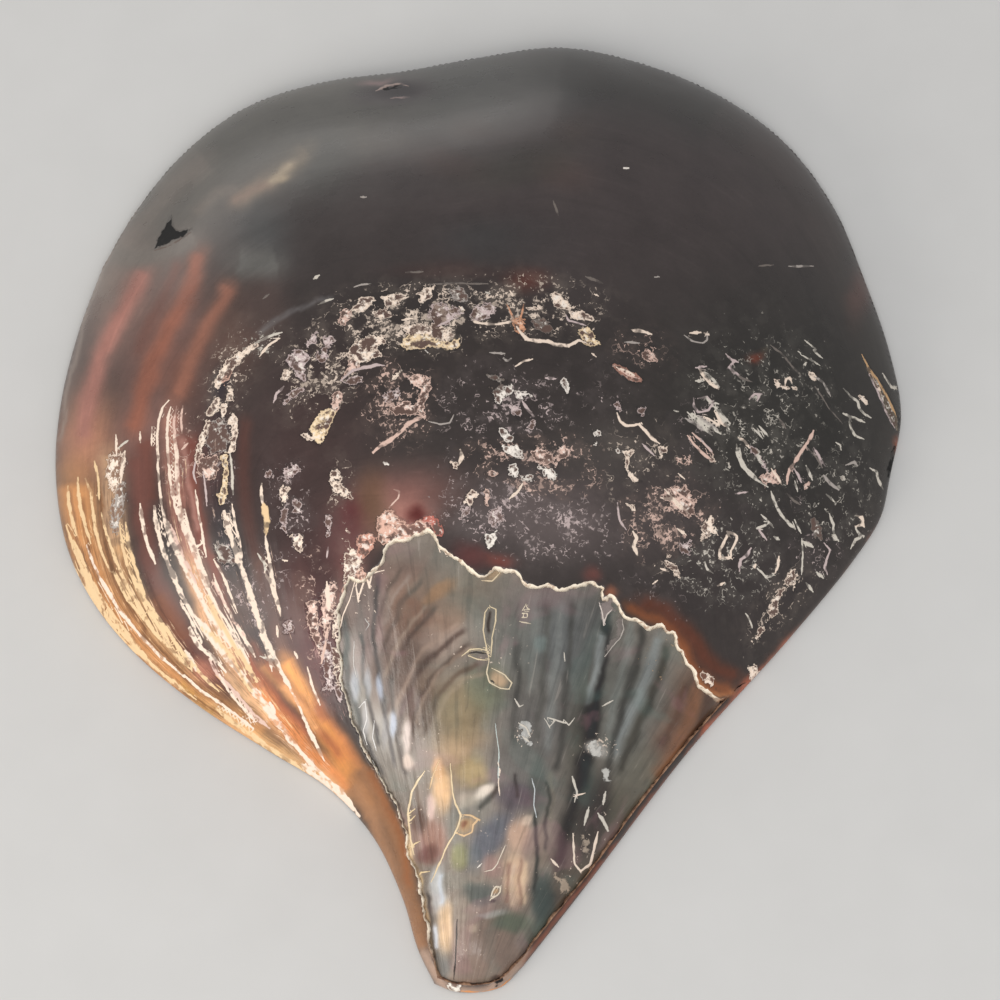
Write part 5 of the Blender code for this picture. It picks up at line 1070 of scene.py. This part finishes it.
# ------------------------------------------------------------------ materials
class Shader:
    """A node material with a single Principled surface."""

    def __init__(self, name):
        self.material = bpy.data.materials.new(name)
        self.material.use_nodes = True
        self.tree = self.material.node_tree
        self.surface = self.tree.nodes["Principled BSDF"]
        self.where = self.node("ShaderNodeTexCoord").outputs["Object"]

    def node(self, kind, **settings):
        made = self.tree.nodes.new(kind)
        for key, value in settings.items():
            setattr(made, key, value)
        return made

    def put(self, socket, value):
        if isinstance(value, bpy.types.NodeSocket):
            self.tree.links.new(value, socket)
        elif isinstance(value, (tuple, list, np.ndarray)) and len(value) == 3 and socket.type == "RGBA":
            socket.default_value = (*[float(v) for v in value], 1.0)
        else:
            socket.default_value = value

    def math(self, operation, a, b=0.0, clamp=False):
        made = self.node("ShaderNodeMath", operation=operation, use_clamp=clamp)
        self.put(made.inputs[0], a)
        self.put(made.inputs[1], b)
        return made.outputs[0]

    def add(self, a, b): return self.math("ADD", a, b)
    def sub(self, a, b): return self.math("SUBTRACT", a, b)
    def mul(self, a, b): return self.math("MULTIPLY", a, b)
    def most(self, a, b): return self.math("MAXIMUM", a, b)

    def step(self, low, high, x, a=0.0, b=1.0):
        made = self.node("ShaderNodeMapRange", interpolation_type="SMOOTHSTEP")
        for socket, value in zip(made.inputs, (x, low, high, a, b)):
            self.put(socket, value)
        return made.outputs[0]

    def value(self, name):
        return self.node("ShaderNodeAttribute", attribute_name=name).outputs["Fac"]

    def tone(self, name):
        return self.node("ShaderNodeAttribute", attribute_name=name).outputs["Color"]

    def mix(self, a, b, amount, how="MIX"):
        made = self.node("ShaderNodeMix", data_type="RGBA", blend_type=how, clamp_factor=True)
        self.put(made.inputs[0], amount)
        self.put(made.inputs[6], a)
        self.put(made.inputs[7], b)
        return made.outputs[2]

    def scaled(self, tone, amount):
        made = self.node("ShaderNodeVectorMath", operation="SCALE")
        self.put(made.inputs[0], tone)
        self.put(made.inputs[3], amount)
        return made.outputs[0]

    def spot(self, x, y, z=0.0):
        made = self.node("ShaderNodeCombineXYZ")
        for socket, value in zip(made.inputs, (x, y, z)):
            self.put(socket, value)
        return made.outputs[0]

    def noise(self, scale, detail=3.0, rough=0.5, where=None, warp=0.0):
        made = self.node("ShaderNodeTexNoise")
        self.put(made.inputs["Vector"], self.where if where is None else where)
        made.inputs["Scale"].default_value = scale
        made.inputs["Detail"].default_value = detail
        made.inputs["Roughness"].default_value = rough
        made.inputs["Distortion"].default_value = warp
        return made.outputs["Fac"]

    def cells(self, scale, where=None, out="Distance", feature="F1"):
        made = self.node("ShaderNodeTexVoronoi", feature=feature)
        self.put(made.inputs["Vector"], self.where if where is None else where)
        made.inputs["Scale"].default_value = scale
        return made.outputs[out]

    def bump(self, height, strength, distance, before=None):
        made = self.node("ShaderNodeBump")
        self.put(made.inputs["Height"], height)
        made.inputs["Strength"].default_value = strength
        made.inputs["Distance"].default_value = distance
        if before is not None:
            self.put(made.inputs["Normal"], before)
        return made.outputs["Normal"]


def dark_material():
    s = Shader("dark_layer")
    part = s.value("part")
    across, along = s.value("across"), s.value("along")
    tone = s.tone("tone")
    # mottling and the faint lines of growth under the polish
    mottle = s.noise(70.0, 5.0, 0.6)
    fine = s.noise(900.0, 2.0, 0.6)
    mottle_fine = s.noise(330.0, 2.0, 0.6)
    tone = s.scaled(tone, s.add(s.step(0.25, 0.75, mottle, 0.86, 1.14), s.mul(s.sub(fine, 0.5), 0.22)))
    grown = s.spot(s.mul(across, 110.0), s.mul(along, 14.0), 0.0)
    striae = s.noise(1.0, 4.0, 0.6, grown, 0.3)
    tone = s.mix(tone, s.scaled(tone, 1.35), s.mul(s.step(0.55, 0.72, striae), 0.35))
    tone = s.mix(tone, s.scaled(tone, 0.72), s.mul(s.step(0.45, 0.30, striae), 0.35))
    # crumbs and dust
    dust = s.value("dust")
    crumbs = s.noise(900.0, 2.0, 0.7, None, 0.5)
    clumps = s.noise(230.0, 3.0, 0.6)
    level = s.sub(0.72, s.mul(dust, s.step(0.35, 0.62, clumps, 0.04, 0.33)))
    crumb = s.mul(s.step(0.0, 0.07, s.sub(crumbs, level)), s.step(0.05, 0.25, dust))
    # thin winding filaments between the flakes
    wisp = s.math("ABSOLUTE", s.sub(clumps, 0.5))
    wisp = s.mul(s.step(0.016, 0.004, wisp), s.mul(s.step(0.50, 0.60, mottle_fine), s.step(0.15, 0.5, dust)))
    veil = s.mul(s.step(0.42, 0.70, clumps), s.mul(dust, 0.30))
    tone = s.mix(tone, s.scaled(s.tone("dust_tone"), 0.42), veil)
    crumb = s.most(crumb, s.mul(wisp, 0.8))
    tone = s.mix(tone, s.scaled(s.tone("dust_tone"), s.step(0.45, 0.62, mottle_fine, 0.55, 1.0)), s.mul(crumb, 0.85))
    # worn edges of the growth lamellae
    lamella = s.value("lamella")
    fan = s.spot(s.mul(across, 230.0), s.mul(along, 30.0), 0.0)
    streak = s.noise(1.0, 4.0, 0.68, fan, 0.3)
    both = s.add(s.mul(streak, 0.8), s.mul(mottle_fine, 0.2))
    edge = s.sub(0.67, s.mul(lamella, 0.145))
    worn = s.mul(s.step(0.0, 0.06, s.sub(both, edge)), s.step(0.05, 0.3, lamella))
    tone = s.mix(tone, s.scaled(tone, 0.42), s.mul(s.step(0.50, 0.42, both), s.mul(lamella, 0.85)))
    tone = s.mix(tone, s.scaled(s.tone("lamella_tone"), s.step(0.40, 0.60, mottle_fine, 0.70, 1.06)), s.mul(worn, 0.9))
    # flakes, with painted light and shade: painted highlights on their rims, painted glints, brown painted shade among
    # the crumbs and a painted shadow just outside their edges
    ragged = s.sub(s.noise(650.0, 3.0, 0.65, None, 0.4), 0.5)
    crumble = s.value("crumble")
    gap = s.add(s.value("chip"), s.mul(ragged, s.add(6.0, s.mul(crumble, 16.0))))
    flake = s.step(0.35, -0.35, gap)
    # painted highlight along the flakes' rims
    rim_highlight = s.mul(flake, s.step(-1.9, -0.7, gap))
    grain = s.add(s.add(s.mul(ragged, 1.2), s.mul(s.sub(mottle_fine, 0.5), 1.0)), s.mul(s.sub(crumbs, 0.5), 0.35))
    solid = s.step(0.03, 0.0, crumble)
    body = s.most(s.step(-0.21, 0.00, s.sub(grain, s.mul(crumble, 0.18))), solid)
    # painted glints in the flakes
    painted_glint = s.mul(s.step(0.53, 0.62, s.add(crumbs, s.mul(ragged, 0.25))), s.sub(1.0, solid))
    chip_tone = s.scaled(s.tone("chip_tone"), s.step(-0.10, 0.18, grain, 0.58, 1.12))
    chip_tone = s.mix(chip_tone, linear(np.array([252, 242, 230])), s.mul(painted_glint, 0.7))
    # brown painted shade among the crumbs
    crumb_light_and_shade = s.mix(s.mix(tone, linear(np.array([118, 92, 82])), 0.6), chip_tone, body)
    # painted shadow just outside the flakes' edges
    tone = s.mix(tone, s.scaled(tone, 0.45), s.mul(s.step(2.2, 0.4, gap), 0.55))
    tone = s.mix(tone, s.mix(crumb_light_and_shade, s.tone("chip_tone"), s.mul(rim_highlight, 0.8)), flake)
    # threads of light
    side = s.math("ABSOLUTE", s.add(s.value("side"), s.mul(ragged, 1.6)))
    broken = s.step(0.38, 0.48, mottle_fine, 0.25, 1.0)
    thread = s.mul(s.mul(s.step(1.25, 0.75, side), s.step(1.12, 0.92, s.value("gap"))), broken)
    tone = s.mix(tone, s.tone("line_tone"), thread)
    # the broken edge, the inner side and the ground rim
    edge_grain = s.add(ragged, 0.5)
    broken_edge = s.math("COMPARE", part, 1.0)
    inner = s.math("COMPARE", part, 2.0)
    rim = s.math("COMPARE", part, 3.0)
    for made in (broken_edge, inner, rim):
        made.node.inputs[2].default_value = 0.25
    chalky = s.mix(linear(np.array([186, 156, 132])), linear(np.array([252, 238, 216])), s.step(0.28, 0.52, edge_grain))
    worn_rim = s.mix(linear(np.array([112, 80, 64])), linear(np.array([176, 138, 110])), s.step(0.34, 0.62, edge_grain))
    tone = s.mix(tone, s.mix(chalky, worn_rim, s.value("by_rim")), broken_edge)
    inner_tone = s.mix(linear(np.array([46, 40, 38])), linear(np.array([92, 72, 60])), s.step(0.4, 0.75, mottle))
    inner_tone = s.mix(inner_tone, linear(np.array([140, 116, 96])), s.mul(s.step(0.60, 0.72, striae), 0.4))
    tone = s.mix(tone, inner_tone, inner)
    tone = s.mix(tone, s.mix(linear(np.array([96, 74, 60])), linear(np.array([190, 160, 130])), s.step(0.4, 0.7, edge_grain)), rim)
    s.put(s.surface.inputs["Base Color"], tone)
    chalk = s.most(s.most(s.mul(crumb, 0.8), worn), s.most(flake, thread))
    chalk = s.most(chalk, s.most(broken_edge, rim))
    haze = s.step(0.35, 0.7, mottle, 0.0, 0.07)
    s.put(s.surface.inputs["Roughness"], s.add(s.add(0.27, haze), s.mul(chalk, 0.36)))
    s.put(s.surface.inputs["Coat Weight"], s.mul(s.sub(1.0, chalk), 0.10))
    s.surface.inputs["Coat Roughness"].default_value = 0.12
    s.surface.inputs["Specular IOR Level"].default_value = 0.30
    s.surface.inputs["IOR"].default_value = 1.5
    lift = s.add(s.mul(s.sub(flake, s.mul(s.step(2.0, 0.0, gap), 0.6)), 0.7), s.add(s.mul(worn, 0.6), s.mul(thread, 0.5)))
    lift = s.add(lift, s.add(s.mul(crumb, 0.5), s.mul(striae, 0.25)))
    s.put(s.surface.inputs["Normal"], s.bump(lift, 0.5, 0.00022))
    return s.material


def nacre_material():
    s = Shader("nacre_layer")
    part = s.value("part")
    fan, reach = s.value("fan"), s.value("reach")
    tone = s.tone("tone")
    cloud = s.noise(140.0, 4.0, 0.6)
    tone = s.scaled(tone, s.step(0.25, 0.75, cloud, 0.82, 1.18))
    waves = s.noise(1.0, 4.0, 0.6, s.spot(s.mul(fan, 60.0), s.mul(reach, 10.0), 0.0), 0.6)
    tone = s.mix(tone, s.scaled(tone, 0.62), s.mul(s.step(0.50, 0.34, waves), 0.55))
    tone = s.mix(tone, linear(np.array([216, 204, 192])), s.mul(s.step(0.60, 0.74, waves), 0.16))
    # pearly play of colour
    play = s.noise(60.0, 3.0, 0.5, None, 0.6)
    tone = s.mix(tone, s.mix(tone, linear(np.array([196, 140, 150])), 0.13), s.step(0.54, 0.66, play))
    tone = s.mix(tone, s.mix(tone, linear(np.array([110, 150, 140])), 0.10), s.step(0.46, 0.34, play))
    dust = s.value("dust")
    crumbs = s.noise(1150.0, 2.0, 0.7, None, 0.5)
    crumb = s.mul(s.step(0.0, 0.05, s.sub(crumbs, s.sub(0.74, s.mul(dust, 0.22)))), s.step(0.03, 0.2, dust))
    tone = s.mix(tone, s.tone("dust_tone"), s.mul(crumb, 0.7))
    ragged = s.sub(s.noise(620.0, 4.0, 0.65, None, 0.4), 0.5)
    gap = s.add(s.value("chip"), s.mul(ragged, s.add(13.0, s.mul(s.value("crumble"), 14.0))))
    flake = s.mul(s.step(1.0, -1.2, gap), 0.82)
    # painted shade just outside the flakes' edges
    tone = s.mix(tone, s.scaled(tone, 0.6), s.mul(s.step(2.4, 0.4, gap), 0.5))
    tone = s.mix(tone, s.scaled(s.tone("chip_tone"), s.step(0.3, 0.7, s.noise(300.0, 4.0, 0.7), 0.78, 1.05)), flake)
    side = s.math("ABSOLUTE", s.add(s.value("side"), s.mul(ragged, 1.4)))
    thread = s.mul(s.step(1.3, 0.75, side), s.step(1.12, 0.92, s.value("gap")))
    tone = s.mix(tone, s.tone("line_tone"), thread)
    # pearly inner face
    pearl = s.noise(38.0, 3.0, 0.5, None, 0.8)
    rose, green, silver = linear(np.array([206, 176, 172])), linear(np.array([168, 186, 172])), linear(np.array([196, 194, 198]))
    inner_tone = s.mix(s.mix(rose, silver, s.step(0.38, 0.5, pearl)), green, s.step(0.55, 0.68, pearl))
    inner = s.math("COMPARE", part, 2.0)
    inner.node.inputs[2].default_value = 0.25
    tone = s.mix(tone, inner_tone, inner)
    s.put(s.surface.inputs["Base Color"], tone)
    s.put(s.surface.inputs["Roughness"], s.add(s.step(0.3, 0.7, cloud, 0.26, 0.42), s.mul(s.most(flake, crumb), 0.25)))
    s.surface.inputs["Metallic"].default_value = 0.04
    s.surface.inputs["Coat Weight"].default_value = 0.20
    s.surface.inputs["Coat Roughness"].default_value = 0.16
    s.surface.inputs["Specular IOR Level"].default_value = 0.5
    lift = s.add(s.mul(waves, 0.7), s.add(s.mul(flake, 0.6), s.add(s.mul(thread, 0.5), s.mul(ragged, 0.3))))
    s.put(s.surface.inputs["Normal"], s.bump(lift, 0.7, 0.0003))
    return s.material


# ------------------------------------------------------------------ the dark layer
def mark_reach(at):
    """How near the marks come to each point of the frame, roughly, to decide how fine the mesh has to be."""
    near = np.full(len(at), 99.0)
    for spot, drawn in DARK_MARKS:
        for mark in drawn:
            if mark[0] in ("chip", "line"):
                pts = placed(spot, mark[-1])
                held = around(at, pts, 9.0)
                if len(held):
                    g = gap_to_line(at[held], pts, closed=mark[0] == "chip")[0]
                    near[held] = np.minimum(near[held], g)
    return near


def build_dark():
    z, n = dome(GRID)
    at = seen_at(np.column_stack([GRID, z]))
    near = mark_reach(at)
    band = np.zeros(len(at))
    for width, how, _, points in LAMELLAE:
        held = around(at, np.array(points, float), 1.3 * width)
        g = gap_to_line(at[held], points)[0]
        band[held] = np.maximum(band[held], (g < 1.15 * width).astype(float))
    want = np.full(len(at), 2)
    want[(at[:, 1] > 280) | (at[:, 0] < 340)] = 1
    want[GRID_TO_MARGIN < 3.0] = np.minimum(want, 1)[GRID_TO_MARGIN < 3.0]
    want[(near < 4.5) | (band > 0) | (GRID_TO_BREAK < 1.6)] = 0
    held = (GRID_LEVEL >= want) & ~GRID_IN_BREAK & (GRID_TO_MARGIN > 1.25) & (GRID_TO_BREAK > 0.30)
    rows = np.vstack([inset_ring(MARGIN, 0.40), inset_ring(MARGIN, 0.85)])
    rows = rows[~inside_ring(rows, BROKEN) & (gap_to_points(rows, BROKEN) > 0.24)]
    plan, tris, (margin, border) = triangulate(np.vstack([GRID[held], rows]), [MARGIN, BROKEN])
    z, n = dome(plan)
    top = np.column_stack([plan, z])
    at = seen_at(top)
    stage, along = growth_of(at)
    carried = marked(at, DARK_MARKS, DARK_DUST, LAMELLAE, DARK_BASE, 0.015)
    # relief: slow waves of the ground surface, steps of the lamellae, sunken flakes
    away = gap_to_points(plan, MARGIN[::2])
    relief = 0.10 * noise(plan, 0.05, 61, 2) + 0.03 * noise(plan, 0.22, 62, 2)
    relief += 0.10 * carried["lamella"] * noise(np.column_stack([stage * 150, along * 8]), 1.0, 63, 2)
    relief -= 0.07 * step(0.6, -0.8, carried["chip"])
    relief -= 0.50 * np.exp(-(((at[:, 0] - 392) / 34) ** 2 + ((at[:, 1] - 92) / 9) ** 2))
    relief *= step(0.0, 2.5, away)
    top = top + n * relief[:, None]
    top[margin] = np.column_stack([plan[margin], np.full(len(margin), LIP)])

    count = len(top)
    foot = np.arange(len(MARGIN)) + count
    points = [top, np.column_stack([MARGIN, np.zeros(len(MARGIN))])]
    inner_edge = inset_ring(smooth_ring(MARGIN, 2), 1.9 - 1.4 * RIM_STRETCH)
    back_edge = inset_ring(smooth_ring(BROKEN, 5), 0.58 + 0.42 * noise(BROKEN, 0.8, 71, 2))
    low_grid = (GRID_LEVEL >= 2) & ~GRID_IN_BREAK & (GRID_TO_MARGIN > 2.6) & (GRID_TO_BREAK > 1.0)
    inner_plan, inner_tris, (inner_ring, hole_ring) = triangulate(GRID[low_grid], [inner_edge, back_edge])
    inner = below(inner_plan, layer_depths(inner_plan))
    inner[inner_ring, 2] = 0.0
    base = count + len(MARGIN)
    points.append(inner)
    faces = [tuple(t) for t in tris.tolist()]
    kinds = [0.0] * len(faces)
    wall = ring_faces(margin, foot)
    faces += wall
    kinds += [0.0] * len(wall)
    bottom = ring_faces(foot, inner_ring + base)
    faces += bottom
    kinds += [3.0] * len(bottom)
    faces += [(c + base, b + base, a + base) for a, b, c in inner_tris.tolist()]
    kinds += [2.0] * len(inner_tris)
    edge = ring_faces(hole_ring + base, border)
    faces += edge
    kinds += [1.0] * len(edge)
    points = np.vstack(points)

    def spread(values, fill):
        rest = np.tile(np.asarray(fill, float), (len(points) - count, 1)) if values.ndim > 1 else np.full(len(points) - count, float(fill))
        out = np.concatenate([values, rest])
        return out

    rest_at = seen_at(points[count:])
    rest_stage, rest_along = growth_of(rest_at)
    grey = linear(np.array(DARK_BASE, float))
    data = {
        "tone": spread(carried["tone"], grey), "chip": spread(carried["chip"], 6), "crumble": spread(carried["crumble"], 0),
        "chip_tone": spread(carried["chip_tone"], grey), "side": spread(carried["side"], 3), "gap": spread(carried["gap"], 3),
        "line_tone": spread(carried["line_tone"], grey), "dust": spread(carried["dust"], 0), "dust_tone": spread(carried["dust_tone"], grey),
        "lamella": spread(carried["lamella"], 0), "lamella_tone": spread(carried["lamella_tone"], grey),
        "across": np.concatenate([stage, rest_stage]), "along": np.concatenate([along, rest_along]),
    }
    data["tone"][foot] = data["tone"][margin]
    data["by_rim"] = step(4.0, 1.8, gap_to_points(points[:, :2], MARGIN))
    obj = mesh_of("prismatic_layer", points, faces, data, {"part": np.array(kinds)}, dark_material())
    return obj


# ------------------------------------------------------------------ the nacre
def build_nacre():
    fine, level = lattice((-110.0, -129.0), (110.0, 129.0), 0.38)
    near = inside_ring(fine, inset_ring(smooth_ring(BROKEN, 6)[::3], -1.2)) & inside_ring(fine, NACRE_EDGE)
    fine = fine[near]
    edge_gap = gap_to_points(fine, NACRE_EDGE)
    fine = fine[edge_gap > 0.25]
    wide = inset_ring(smooth_ring(BROKEN, 6)[::3], -1.2)
    coarse = GRID[(GRID_LEVEL >= 2)]
    coarse = coarse[inside_ring(coarse, NACRE_EDGE) & ~inside_ring(coarse, wide)]
    coarse = coarse[gap_to_points(coarse, NACRE_EDGE[::2]) > 0.8]
    plan, tris, (edge,) = triangulate(np.vstack([fine, coarse]), [NACRE_EDGE])
    z, n = dome(plan)
    at = seen_at(np.column_stack([plan, z]))
    carried = marked(at, NACRE_MARKS, NACRE_DUST, [], NACRE_BASE, 0.02)
    apex = np.array(APEX)
    d = at - apex
    fan = np.arctan2(d[:, 0], -d[:, 1])
    reach = np.linalg.norm(d, axis=1) / 600.0
    open_area = inside_ring(plan, BROKEN)
    to_border = gap_to_points(plan, BROKEN[::2])
    shown = np.where(open_area, step(0.0, 4.0, to_border), 0.0)
    ribs = noise(np.column_stack([fan * 26, reach * 4.0]), 1.0, 81, 3) * 0.30 + 0.12 * noise(plan, 0.16, 82, 3)
    depth = layer_depths(plan) + 0.05 - shown * (ribs - 0.10)
    depth = np.maximum(depth, 0.15)
    outer = below(plan, depth)
    inner_edge = inset_ring(smooth_ring(NACRE_EDGE, 2), 0.30)
    low = GRID[(GRID_LEVEL >= 2)]
    low = low[inside_ring(low, inset_ring(NACRE_EDGE, 1.2))]
    inner_plan, inner_tris, (inner_ring,) = triangulate(low, [inner_edge])
    lower = np.maximum(1.83, layer_depths(inner_plan) + 0.06)
    inner = below(inner_plan, lower)
    count = len(outer)
    faces = [tuple(t) for t in tris.tolist()]
    kinds = [0.0] * len(faces)
    faces += [(c + count, b + count, a + count) for a, b, c in inner_tris.tolist()]
    kinds += [2.0] * len(inner_tris)
    strip = ring_faces(edge, inner_ring + count)
    faces += strip
    kinds += [0.0] * len(strip)
    points = np.vstack([outer, inner])
    extra = len(inner)
    data = {}
    for key in ("tone", "chip", "crumble", "chip_tone", "side", "gap", "line_tone", "dust", "dust_tone"):
        values = carried[key]
        fill = {"chip": 6.0, "side": 3.0, "gap": 3.0}.get(key, 0.0)
        data[key] = np.vstack([values, np.tile(linear(np.array(NACRE_BASE, float)), (extra, 1))]) if values.ndim > 1 else np.concatenate([values, np.full(extra, fill)])
    data["fan"] = np.concatenate([fan, np.zeros(extra)])
    data["reach"] = np.concatenate([reach, np.zeros(extra)])
    return mesh_of("nacre_layer", points, faces, data, {"part": np.array(kinds)}, nacre_material())


dark = build_dark()
nacre = build_nacre()
for piece, slot in ((dark, "polished_shell"), (nacre, "nacre")):
    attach(piece, "root")
    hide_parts("valve")

# ------------------------------------------------------------------ floor, light and camera
def floor_material():
    s = Shader("floor")
    grain = s.noise(60.0, 3.0, 0.5)
    s.put(s.surface.inputs["Base Color"], s.mix((0.66, 0.65, 0.63), (0.70, 0.69, 0.67), grain))
    s.surface.inputs["Roughness"].default_value = 0.85
    s.surface.inputs["Specular IOR Level"].default_value = 0.2
    return s.material


floor_mesh = bpy.data.meshes.new("floor")
floor_mesh.from_pydata([(-3, -3, 0), (3, -3, 0), (3, 3, 0), (-3, 3, 0)], [], [(0, 1, 2, 3)])
floor_mesh.materials.append(floor_material())
floor = bpy.data.objects.new("floor", floor_mesh)
floor.location = (0, 0, -0.0004)
bpy.context.scene.collection.objects.link(floor)

world = bpy.data.worlds.new("studio")
bpy.context.scene.world = world
world.use_nodes = True
world.node_tree.nodes["Background"].inputs["Color"].default_value = (0.97, 0.98, 1.0, 1.0)
world.node_tree.nodes["Background"].inputs["Strength"].default_value = 0.62


def panel(name, at, aim, size, power, tone=(1.0, 1.0, 1.0)):
    """A soft rectangular light."""
    light = bpy.data.lights.new(name, "AREA")
    light.shape, light.size, light.size_y = "RECTANGLE", size[0], size[1]
    light.energy, light.color = power, tone
    lamp = bpy.data.objects.new(name, light)
    lamp.location = at
    lamp.rotation_euler = (Vector(aim) - Vector(at)).to_track_quat("-Z", "Y").to_euler()
    bpy.context.scene.collection.objects.link(lamp)
    return lamp


panel("left_window", (-0.95, -0.74, 0.50), (0, 0, 0.02), (0.8, 0.5), 6.5, (1.0, 0.95, 0.88))
panel("rear_low", (-0.42, 1.02, 0.13), (-0.05, 0.10, 0.0), (1.1, 0.22), 1.6, (1.0, 0.97, 0.93))
panel("front_top", (0.15, -1.10, 0.95), (0, -0.03, 0.02), (0.7, 0.5), 6.0)

camera_data = bpy.data.cameras.new("camera")
camera_data.lens, camera_data.sensor_width = VIEW_FOCAL / 1000.0 * 36.0, 36.0
camera_data.clip_start, camera_data.clip_end = 0.01, 20.0
camera = bpy.data.objects.new("camera", camera_data)
camera.location = Vector([float(v) for v in VIEW_EYE * MM])
camera.rotation_euler = (math.radians(90.0 - VIEW_ELEVATION), 0.0, 0.0)
bpy.context.scene.collection.objects.link(camera)
bpy.context.scene.camera = camera
bpy.context.scene.view_settings.view_transform = "Standard"
bpy.context.scene.view_settings.look = "None"
